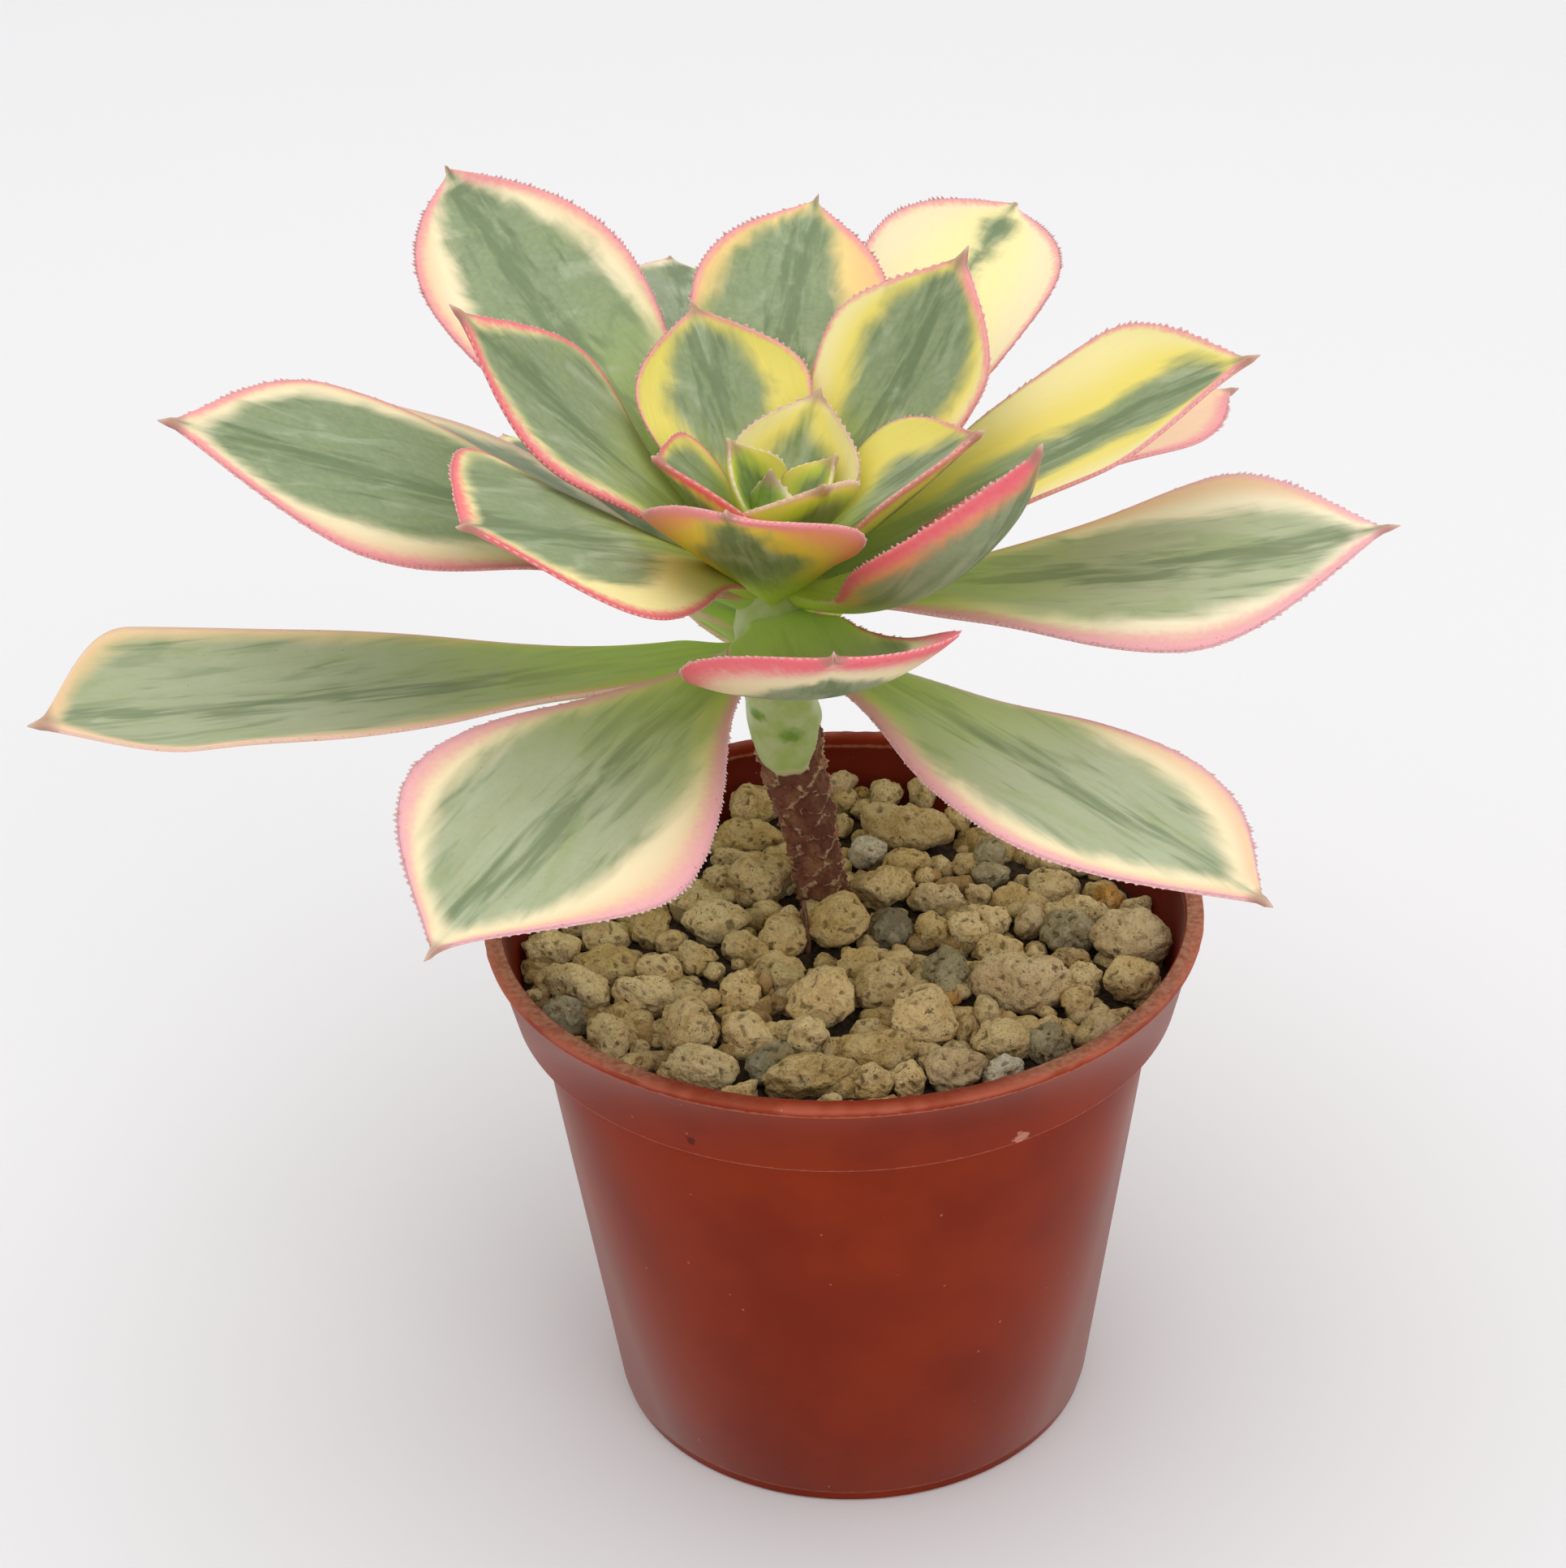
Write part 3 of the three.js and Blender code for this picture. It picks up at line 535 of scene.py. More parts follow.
def leaf_skin(tree, place):
    """Living leaf skin under a thin wax bloom: matte with a soft broad sheen, a little light
    passing through the pale margins, green streaks that run with the veins."""
    across, along, inside, outside, flush, tooth, point, root = (
        add(tree, "Attribute", {}, "Fac", attribute_name=name) for name in LEAF_LAYERS
    )
    plain_green, inner, outer, edge = (
        add(tree, "Attribute", {}, "Color", attribute_name=name) for name in LEAF_COLOURS
    )
    # Leaves are told apart by where they are, so that no two carry the same streaks
    shift = add(tree, "VectorMath", {0: place, 1: (40, 40, 40)}, operation="MULTIPLY")
    run = add(tree, "CombineXYZ", {"X": across, "Y": along})
    # Patches drawn out along the veins: how wide and how long they are in mm
    drawn = []
    for wide, long, detail, bent in ((1.2, 9, 3.0, 0.5), (3.2, 13, 2.0, 0.8), (4.5, 9, 3.0, 0.8)):
        scaled = add(tree, "VectorMath", {0: run, 1: (1 / wide, 1 / long, 1)}, operation="MULTIPLY")
        at = add(tree, "VectorMath", {0: scaled, 1: shift}, operation="ADD")
        setting = {"Vector": at, "Scale": 1.0, "Detail": detail, "Distortion": bent}
        drawn.append(add(tree, "TexNoise", setting))
    streak, broad, wash = drawn
    # Mottle of the skin about 0.8 mm, fine specks about 0.4 mm, cells about 0.25 mm
    mottle, fine, cells = (
        add(tree, "TexNoise", {"Vector": place, "Scale": 1 / (grain * MM), "Detail": 1.5})
        for grain in (0.8, 0.42, 0.25)
    )

    # Where the green ends, in mm: a soft border that wanders
    border = add(tree, "Math", {0: wash, 1: 4.4, 2: inside}, operation="MULTIPLY_ADD")
    border = add(tree, "Math", {0: streak, 1: 1.2, 2: border}, operation="MULTIPLY_ADD")

    # Dark streaks crowd along the midrib, and the base is clean
    sway = add(tree, "Math", {0: broad, 1: 3.0, 2: -1.5}, operation="MULTIPLY_ADD")
    off_rib = add(tree, "Math", {0: across, 1: sway}, operation="ADD")
    off_rib = add(tree, "Math", {0: off_rib}, operation="ABSOLUTE")
    crowded = {"Value": off_rib, "From Min": 3.6, "From Max": 0.3, "To Max": 0.27}
    near_rib = add(tree, "MapRange", crowded)
    grown = add(tree, "MapRange", {"Value": along, "From Min": 5.0, "From Max": 18.0})
    dark = add(tree, "Math", {0: near_rib, 1: grown, 2: streak}, operation="MULTIPLY_ADD")
    green = stain(
        tree,
        plain_green,
        (wash, 0.5, 0.3, 0.5, "#B2BB9C"),
        (wash, 0.54, 0.72, 0.4, "#93A566"),
        (mottle, 0.35, 0.65, 0.12, "#BCC4A8"),
        (broad, 0.54, 0.72, 0.42, "#6F8258"),
        (dark, 0.54, 0.84, 0.62, "#5C704A"),
        (fine, 0.73, 0.8, 0.5, "#4C5A3A"),
        # Near the base the plain green covers the streaks; there it carries the painted glow
        (root, 0.0, 1.0, 0.75, plain_green),
    )

    # The flush of colour along the margin is mottled, with small deeper specks
    mottled = add(tree, "Math", {0: mottle, 1: 1.1, 2: flush}, operation="MULTIPLY_ADD")
    dimmed = add(tree, "Math", {0: flush, 1: -0.15, 2: fine}, operation="MULTIPLY_ADD")
    body = stain(
        tree,
        outer,
        (outside, 0.15, 0.85, 1.0, inner),
        (border, 1.2, 4.6, 1.0, green),
        (mottled, 2.5, 0.7, 0.92, edge),
        (dimmed, 0.6, 0.7, 0.6, "#C9465C"),
        # Tips dry to a dull mauve brown, and teeth are clear, pale and faintly pink
        (point, 0.0, 1.0, 0.75, "#A58274"),
        (tooth, 0.0, 1.0, 0.55, "#EFCFCB"),
    )
    veins = add(tree, "Bump", {"Height": streak, "Strength": 0.3, "Distance": 0.4 * MM})
    relief = {"Height": cells, "Strength": 0.12, "Distance": 0.08 * MM, "Normal": veins}
    return {
        "Base Color": body,
        "Roughness": add(tree, "MapRange", {"Value": mottle, "To Min": 0.45, "To Max": 0.65}),
        "Normal": add(tree, "Bump", relief),
        "Specular IOR Level": 0.35,
        "Subsurface Weight": 0.3,
        "Subsurface Radius": (1.0, 0.85, 0.35),
        "Subsurface Scale": 2.0 * MM,
    }


skin = make_material("leaf_skin_with_wax_bloom", leaf_skin)
for measures in LEAVES:
    name = f"{measures[0]:02d}"
    slot, fringe = "leaf_old", OLD_FRINGE
    if measures[0] <= LAST_YOUNG:
        slot, fringe = "leaf_young", YOUNG_FRINGE
    elif measures[0] == WORN_LEAF:
        fringe = WORN_FRINGE
    put_piece(leaf_body(measures, fringe), "blade_" + name, skin, ["leaf_" + name])

heart = bmesh.new()
for measures in HEART_LEAVES:
    folded = leaf_body(measures, HEART_FRINGE)
    holder = bpy.data.meshes.new("folded")
    folded.to_mesh(holder)
    folded.free()
    heart.from_mesh(holder)
    bpy.data.meshes.remove(holder)
put_piece(heart, "heart_leaves", skin, ["heart"])

# ---------------- stem and twig
STEM_SIDES = 96
STEM_ROWS = 250
TWIG_SIDES = 12
TWIG_ROWS = 24
SCAR_DROP = 0.5  # from one old leaf's scar down to the next
SCAR_STRETCH = 1.9  # a scar is this much wider than it is tall
SCAR_REACH = 11  # scars looked at either way from a place, counted along the spiral
HEM_RISE = 5.4  # how far the end of the green rises from its lowest place
HEM_LOWEST = -100  # that lowest place, as an angle round the stem
# Buds under the skin of the green part: angle round the stem, height, half width, half height
BUDS = [(-135, 87.1, 1.3, 0.8), (-80, 84.7, 1.5, 1.0)]
STEM_LAYERS = ("bark", "ridge", "bud", "plate", "hem")


def upright_rod(bm, sides, rows, foot_radius, top_radius):
    """A closed rod one unit tall, cut into rings."""
    bmesh.ops.create_cone(
        bm, cap_ends=True, segments=sides, radius1=foot_radius, radius2=top_radius, depth=1
    )
    uprights = [e for e in bm.edges if abs(e.verts[0].co.z - e.verts[1].co.z) > 0.5]
    bmesh.ops.subdivide_edges(bm, edges=uprights, cuts=rows, use_grid_fill=True)


def green_ends_at(angle):
    """The height where the green of the stem ends over the bark, lowest at the front."""
    off_front = 1 - math.cos(angle - math.radians(HEM_LOWEST))
    return BARK_TOP + HEM_RISE * smooth(0.0, 0.9, off_front)


def nearest_scars(angle, height, radius):
    """The two nearest old leaf scars: how far off each is, then how far the place is above
    the middle of the nearest and that one's number."""
    first, second, above, number = 99.0, 99.0, 0.0, 0
    middle = round((STEM_LINE[-1][2] - height) / SCAR_DROP)
    for k in range(middle - SCAR_REACH, middle + SCAR_REACH + 1):
        turn = angle - math.radians(k * GOLDEN_ANGLE)
        turn = (turn + math.pi) % (2 * math.pi) - math.pi
        rise = height - STEM_LINE[-1][2] + k * SCAR_DROP
        off = math.hypot(turn * radius / SCAR_STRETCH, rise)
        if off < first:
            first, second, above, number = off, first, rise, k
        elif off < second:
            second = off
    return first, second, above, number


def stem_body():
    bm = bmesh.new()
    bark_at, ridge_at, bud_at, plate_at, hem_at = map(bm.verts.layers.float.new, STEM_LAYERS)
    upright_rod(bm, STEM_SIDES, STEM_ROWS, 1, 1)
    foot, top = STEM_LINE[0][2], STEM_LINE[-1][2]
    for v in bm.verts:
        height = mix(foot, top, v.co.z + 0.5)
        angle = math.atan2(v.co.y, v.co.x)
        x, y, radius = stem_at(height)
        at = Vector((x + radius * math.cos(angle), y + radius * math.sin(angle), height))
        bend = 0.9 * noise.noise(at * 0.8)
        above = height - green_ends_at(angle) - 0.5 * noise.noise(at * 0.6)
        bark = smooth(0.2, -0.2, above)
        first, second, rise, number = nearest_scars(angle + bend / radius, height + bend, radius)
        ridge = smooth(0.6, 0.05, second - first + 0.7 * noise.noise(at * 1.3))
        flakes = noise.noise(at * 2.2) * 0.22 + noise.noise(at * 5) * 0.12
        # Each scar stands out at its lower end, over the next one down
        radius += bark * (0.34 * ridge - 0.3 - 0.2 * rise + flakes)
        # The green skin ends in a soft rounded hem that stands over the bark
        radius += (1 - bark) * (0.28 * smooth(3.5, 1.0, above) - 0.28 * smooth(0.7, 0.0, above))
        v[bark_at] = bark
        v[hem_at] = smooth(1.5, 0.2, above)
        v[ridge_at] = ridge
        v[plate_at] = (number * 0.618) % 1
        v[bud_at] = smooth(4.0, 0.2, above) * 0.3
        for turn, level, wide, tall in BUDS:
            off = math.hypot((angle - math.radians(turn)) * radius / wide, (height - level) / tall)
            radius += 0.12 * smooth(1.2, 0, off)
            v[bud_at] = max(v[bud_at], smooth(1.6, 0.2, off + 0.4 * noise.noise(at * 2)))
        v.co = Vector((x + radius * math.cos(angle), y + radius * math.sin(angle), height)) * MM
    bmesh.ops.recalc_face_normals(bm, faces=bm.faces)
    return bm


def stem_finish(tree, place):
    """Young stem over old bark: smooth waxy green above, dry brown leaf scars with papery
    pale edges below."""
    bark, ridge, bud, plate, hem = (
        add(tree, "Attribute", {}, "Fac", attribute_name=name) for name in STEM_LAYERS
    )
    # Fibres of the bark about 0.5 mm, cloudiness about 2.5 mm
    thread = {"Vector": place, "Scale": 1 / (0.5 * MM), "Detail": 5.0, "Roughness": 0.7}
    fibre = add(tree, "TexNoise", thread)
    cloud = add(tree, "TexNoise", {"Vector": place, "Scale": 1 / (2.5 * MM), "Detail": 3.0})
    ragged = add(tree, "Math", {0: ridge, 1: fibre}, operation="MULTIPLY")
    brown = stain(
        tree,
        linear("#6A3724"),
        (plate, 0.0, 1.0, 1.0, "#A36647"),
        (cloud, 0.45, 0.7, 0.5, "#A87C54"),
        (ragged, 0.26, 0.55, 0.85, "#CBAC86"),
        (fibre, 0.46, 0.34, 0.7, "#2E140A"),
    )
    colour = stain(
        tree,
        linear("#ABBD68"),
        (cloud, 0.3, 0.7, 1.0, "#C3CC94"),
        (bud, 0.0, 1.0, 1.0, "#7A9C38"),
        (hem, 0.0, 1.0, 0.8, "#D6D0A0"),
        (bark, 0.0, 1.0, 1.0, brown),
    )
    relief = add(tree, "Math", {0: fibre, 1: bark}, operation="MULTIPLY")
    return {
        "Base Color": colour,
        "Roughness": add(tree, "MapRange", {"Value": bark, "To Min": 0.42, "To Max": 0.85}),
        "Normal": add(tree, "Bump", {"Height": relief, "Strength": 0.7, "Distance": 0.35 * MM}),
        "Subsurface Weight": 0.2,
        "Subsurface Radius": (1.0, 0.9, 0.35),
        "Subsurface Scale": 1.5 * MM,
    }


stem_material = make_material("succulent_stem_and_dry_bark", stem_finish)
put_piece(stem_body(), "stem_with_bark", stem_material, ["stem"])


def twig_body():
    bm = bmesh.new()
    upright_rod(bm, TWIG_SIDES, TWIG_ROWS, TWIG_RADIUS, TWIG_RADIUS * 0.75)
    foot, top = Vector(TWIG_FOOT), Vector(TWIG_TOP)
    along = (top - foot).normalized()
    turned = along.to_track_quat("Z", "Y")
    for v in bm.verts:
        share = v.co.z + 0.5
        around = Vector((v.co.x, v.co.y, 0))
        around *= 1 + 0.25 * noise.noise(Vector((v.co.x * 2, v.co.y * 2, share * 7)))
        bow = Vector((0.12 * math.sin(5 * share), 0, 0))
        v.co = (foot.lerp(top, share) + bow + turned @ around) * MM
    return bm


def twig_finish(tree, place):
    """A dry root or twig: dull brown fibre with lengthwise grooves."""
    stretched = add(tree, "VectorMath", {0: place, 1: (1, 1, 0.15)}, operation="MULTIPLY")
    # Fibres about 0.25 mm wide and seven times as long
    fibre = add(tree, "TexNoise", {"Vector": stretched, "Scale": 1 / (0.25 * MM), "Detail": 3.0})
    colour = stain(tree, linear("#4A2A1E"), (fibre, 0.25, 0.75, 1.0, "#8F6248"))
    bump = add(tree, "Bump", {"Height": fibre, "Strength": 0.5, "Distance": 0.1 * MM})
    return {"Base Color": colour, "Roughness": 0.85, "Normal": bump}


twig_material = make_material("dry_twig_fibre", twig_finish)
put_piece(twig_body(), "twig_in_gravel", twig_material, ["twig"])

# ---------------- gravel
STONE_TONES = ["#DDBF88", "#D3B57C", "#E0C692", "#CBAD72", "#D8BE8A", "#D3B88C"]
STONE_SINK = 0.8  # how far the stones have settled below their listed level
STONE_FLATS = 9  # flats worn on each stone
CRUMB_COUNT = 460
CRUMB_LEVEL = 58.4
CRUMB_REACH = 37.5
TWIG_CLEARING = 3  # no crumbs lie nearer to the twig than this
LARGE_STONE = 4.4  # a stone longer than this, in mm, gets finer faces
LARGE_FINENESS, STONE_FINENESS, CRUMB_FINENESS = 5, 4, 2
BED_RADIUS = 38.5
BED_LEVEL = 57.9
BED_THICKNESS = 0.5
WALL_FOOT, WALL_SLOPE = (38.5, 57.3), 0.213  # the pot's inner face beside the stones
LEDGE_RADIUS, LEDGE_SLOPE = 35.9, 0.132  # and below the ledge


def empty_heap():
    """A bmesh for stones, whose points can carry a tone and the depth of a pit."""
    bm = bmesh.new()
    bm.verts.layers.float_color.new("tone")
    bm.verts.layers.float.new("pit")
    return bm


def stone(bm, centre, half, tone, number, fineness):
    """A worn, pitted lump of pumice: flats between rounded corners, small cavities, and painted
    shade that darkens it towards its underside."""
    tone_at, pit_at = bm.verts.layers.float_color["tone"], bm.verts.layers.float["pit"]
    draw = random.Random(1000 + number)
    made = bmesh.ops.create_icosphere(bm, subdivisions=fineness, radius=1)["verts"]
    flats = []
    for _ in range(STONE_FLATS):
        way = Vector([draw.gauss(0, 1) for _ in range(3)]).normalized()
        flats.append((way, draw.uniform(0.7, 1.0)))
    shift = Vector([draw.uniform(-9, 9) for _ in range(3)])
    turn = Matrix.Rotation(draw.uniform(-0.35, 0.35), 3, "Z")
    turn = turn @ Matrix.Rotation(draw.uniform(-0.2, 0.2), 3, "X")
    middle = Vector(centre)
    size = sum(half) / 3
    for v in made:
        way = v.co.normalized()
        press = sum(max(way.dot(flat) / reach, 0) ** 20 for flat, reach in flats)
        radius = min((press + 0.2) ** (-1 / 20), 1.12)
        radius += 0.13 * noise.noise(way * 1.5 + shift) + 0.06 * noise.noise(way * 3.6 + shift)
        shape = Vector((way.x * half[0], way.y * half[1], way.z * half[2])) * radius
        # Grain and cavities keep their own size in mm, whatever the stone's
        rough = 0.26 * noise.noise(shape * 0.7 + shift) + 0.15 * noise.noise(shape * 1.6 + shift)
        rough += 0.1 * noise.noise(shape * 3.4 + shift)
        pit = smooth(0.36, 0.5, noise.noise(shape * 1.05 - shift))
        shape += way * (rough - 0.3 * pit) * min(size / 2.5, 1)
        spot = middle + turn @ shape
        # Painted shade: the stone's tone darkens towards its underside
        dust_and_shade = mix(0.5, 1.04, smooth(-0.7, 0.35, way.z + 0.2 * noise.noise(shape + shift)))
        limit = WALL_FOOT[0] + (spot.z - WALL_FOOT[1]) * WALL_SLOPE
        if spot.z < WALL_FOOT[1]:
            limit = LEDGE_RADIUS + (spot.z - WALL_FOOT[1]) * LEDGE_SLOPE
        if spot.xy.length > limit:
            spot.xy *= limit / spot.xy.length
        v.co = spot * MM
        v[tone_at] = (*[c * dust_and_shade for c in tone], 1)
        v[pit_at] = pit


def stone_tone(draw, special=None):
    base = Vector(linear(special or draw.choice(STONE_TONES))[:3])
    return base * draw.uniform(0.95, 1.18)


def gravel_heaps():
    """The stones that show, in three heaps, and one of the smaller ones between and under
    them, by the names of their pieces."""
    draw = random.Random(7)
    heaps = {}
    listed = []
    for name, group in STONES.items():
        heaps[name] = bm = empty_heap()
        for x, y, level, length, depth, *special in group:
            tall = (length + depth) * STONE_GROW * STONE_HEIGHT
            half = (length * STONE_GROW, depth * STONE_GROW, tall)
            fineness = LARGE_FINENESS if length > LARGE_STONE else STONE_FINENESS
            tone = stone_tone(draw, *special)
            spot = (x, y, level - STONE_SINK + draw.uniform(-0.5, 0.5))
            stone(bm, spot, half, tone, len(listed), fineness)
            listed.append((x, y, (length + depth) / 4))
    heaps["gravel_between"] = bm = empty_heap()
    for number in range(FILL_COUNT):
        angle = math.radians(number * GOLDEN_ANGLE)
        out = FILL_SPREAD * math.sqrt(number + 0.5)
        x, y = out * math.cos(angle), out * math.sin(angle)
        size = 3 + 0.9 * ((number * 0.618) % 1)
        if any(math.hypot(x - s[0], y - s[1]) < 0.6 * (size + s[2]) for s in listed):
            continue
        half = (1.15 * size, size, size)
        spot, tone = (x, y, FILL_LEVEL), stone_tone(draw)
        stone(bm, spot, half, tone, 200 + number, STONE_FINENESS)
    for number in range(CRUMB_COUNT):
        angle = draw.uniform(0, 2 * math.pi)
        out = CRUMB_REACH * math.sqrt(draw.random())
        size = draw.uniform(0.8, 1.7)
        level = CRUMB_LEVEL + draw.uniform(-0.8, 0.7)
        spot = (out * math.cos(angle), out * math.sin(angle), level)
        if math.hypot(spot[0] - TWIG_FOOT[0], spot[1] - TWIG_FOOT[1] + 1) < TWIG_CLEARING:
            continue
        half = (size * 1.2, size, size * 0.9)
        tone = stone_tone(draw, draw.choice((None, None, TAN)))
        stone(bm, spot, half, tone, 400 + number, CRUMB_FINENESS)
    return heaps


def pumice(tree, place):
    """Pumice gravel: dry, dull, sandy lumps with small dark pores and a dusting of fine
    grit."""
    # Grain about 0.2 mm, clouds of colour 1.6 mm, pores 0.2 mm in crowds about 0.9 mm, and
    # crumbling about 0.5 mm
    even = {"Vector": place, "Detail": 3.0, "Roughness": 0.65}
    grain, cloud, pores, crowds, crumble = (
        add(tree, "TexNoise", {**even, "Scale": 0.5 / (size * MM)})
        for size in (0.2, 1.6, 0.2, 0.9, 0.5)
    )
    pore = add(tree, "Math", {0: pores, 1: crowds}, operation="MULTIPLY")
    tone = add(tree, "Attribute", {}, "Color", attribute_name="tone")
    pit = add(tree, "Attribute", {}, "Fac", attribute_name="pit")
    colour = stain(
        tree,
        tone,
        (cloud, 0.4, 0.65, 0.4, "#E0CFA2"),
        (cloud, 0.5, 0.3, 0.45, "#A98C55"),
        (grain, 0.47, 0.3, 0.55, "#8A7144"),
        (crumble, 0.46, 0.3, 0.45, "#957A49"),
        (pore, 0.345, 0.395, 0.75, "#4A381E"),
        (pit, 0.0, 1.0, 0.6, "#5A4626"),
    )
    sunk = {"Value": pore, "From Min": 0.345, "From Max": 0.395, "To Min": 1.0, "To Max": 0.0}
    lip = add(tree, "MapRange", sunk)
    normal = add(tree, "Bump", {"Height": lip, "Strength": 0.7, "Distance": 0.3 * MM})
    for height, deep in ((crumble, 0.7), (grain, 0.3)):
        relief = {"Height": height, "Strength": 0.9, "Distance": deep * MM, "Normal": normal}
        normal = add(tree, "Bump", relief)
    return {"Base Color": colour, "Roughness": 0.95, "Specular IOR Level": 0.2, "Normal": normal}


lumps = make_material("pumice_lumps", pumice)
for name, heap in gravel_heaps().items():
    put_piece(heap, name, lumps, ["gravel"] if name == "gravel_left" else [])


def bed_body():
    """Fine grit under the stones, made nearly black as painted shade in the gaps between them."""
    bm = bmesh.new()
    bmesh.ops.create_circle(bm, cap_ends=True, segments=64, radius=BED_RADIUS * MM)
    bmesh.ops.translate(bm, verts=bm.verts, vec=(0, 0, (BED_LEVEL - BED_THICKNESS) * MM))
    bmesh.ops.translate(bm, verts=draw_out(bm, bm.faces[:]), vec=(0, 0, BED_THICKNESS * MM))
    near_top = (BED_LEVEL - 0.1) * MM
    bmesh.ops.poke(bm, faces=[f for f in bm.faces if f.calc_center_median().z > near_top])
    spokes = [e for e in bm.edges if min(v.co.z for v in e.verts) > near_top]
    bmesh.ops.subdivide_edges(bm, edges=spokes, cuts=12, use_grid_fill=True)
    for v in bm.verts:
        if v.co.z > near_top and v.co.xy.length < (BED_RADIUS - 0.5) * MM:
            v.co.z += 0.9 * MM * noise.noise(v.co / (1.6 * MM))
    bmesh.ops.recalc_face_normals(bm, faces=bm.faces)
    return bm


def grit(tree, place):
    """Fine grit under the stones: nearly black brown as painted shade in the gaps, quite dull."""
    # Grains about 0.9 mm
    grain = add(tree, "TexNoise", {"Vector": place, "Scale": 1 / (0.9 * MM), "Detail": 4.0})
    # Painted shade: the grit is nearly black so the gaps between the stones look shaded
    colour = stain(tree, linear("#1A100A"), (grain, 0.3, 0.7, 1.0, "#4C3926"))
    bump = add(tree, "Bump", {"Height": grain, "Strength": 0.8, "Distance": 0.5 * MM})
    return {"Base Color": colour, "Roughness": 0.95, "Normal": bump}


put_piece(bed_body(), "grit_bed_with_painted_gap_shade", make_material("grit_with_painted_gap_shade", grit), [])

# ---------------- pot
POT_STEPS = 720
# Radius and height of the wall's section, from the underside up, over the lip and down inside
POT_SECTION = [
    (29.2, 0), (29.5, 0.3), (29.5, 1.4), (29.85, 1.6), (37.2, 56.3), (39.7, 56.5), (41.8, 65.5),
    (42.5, 65.7), (42.5, 66.8), (40.45, 66.8), (40.45, 65.5), (38.7, 57.3), (36.2, 57.3),
    (28.85, 1.4),
]
ROUNDED_RINGS = {  # how far each edge of the section is rounded
    (42.5, 66.8): 0.22, (40.45, 66.8): 0.25, (42.5, 65.7): 0.15, (39.7, 56.5): 0.3,
    (37.2, 56.3): 0.25,
}
LIP_FOOT, LIP_FACE = 66.2, 66.6  # above these a point is on the lip, and on its flat face
LIP_INSIDE, LIP_OUTSIDE = 40.6, 42.4  # the flat face lies between these radii
LIP_BURR = 42.2  # and the burr outside this one
# The outer face's radii at the underside and at WALL_HEIGHT; points this near count as on it
WALL_RADII, WALL_HEIGHT, WALL_NEAR = (29.5, 40), 66, 0.9
# The radii midway through the band's wall, at its foot and BAND_HEIGHT above, and where the
# band's inner face ends at the top
BAND_RADII, BAND_FOOT, BAND_HEIGHT, BAND_TOP = (39.2, 41.1), 57, 8.6, 66.4
NICK, SCUFF = (-17.6, -36.2, 58.8), (19.1, -34.9, 57.2)  # marks on the front of the band
DRAIN_HOLES = 4
DRAIN_RADIUS = 2.5
DRAIN_CIRCLE = 19
POT_LAYERS = ("burr", "dust", "outer", "shade")


def ring_edges(bm, radius, height):
    """The edges of the pot that run round at one radius and height, in mm."""
    near = 0.01 * MM

    def on_ring(v):
        return abs(v.co.xy.length - radius * MM) < near and abs(v.co.z - height * MM) < near

    return [e for e in bm.edges if on_ring(e.verts[0]) and on_ring(e.verts[1])]


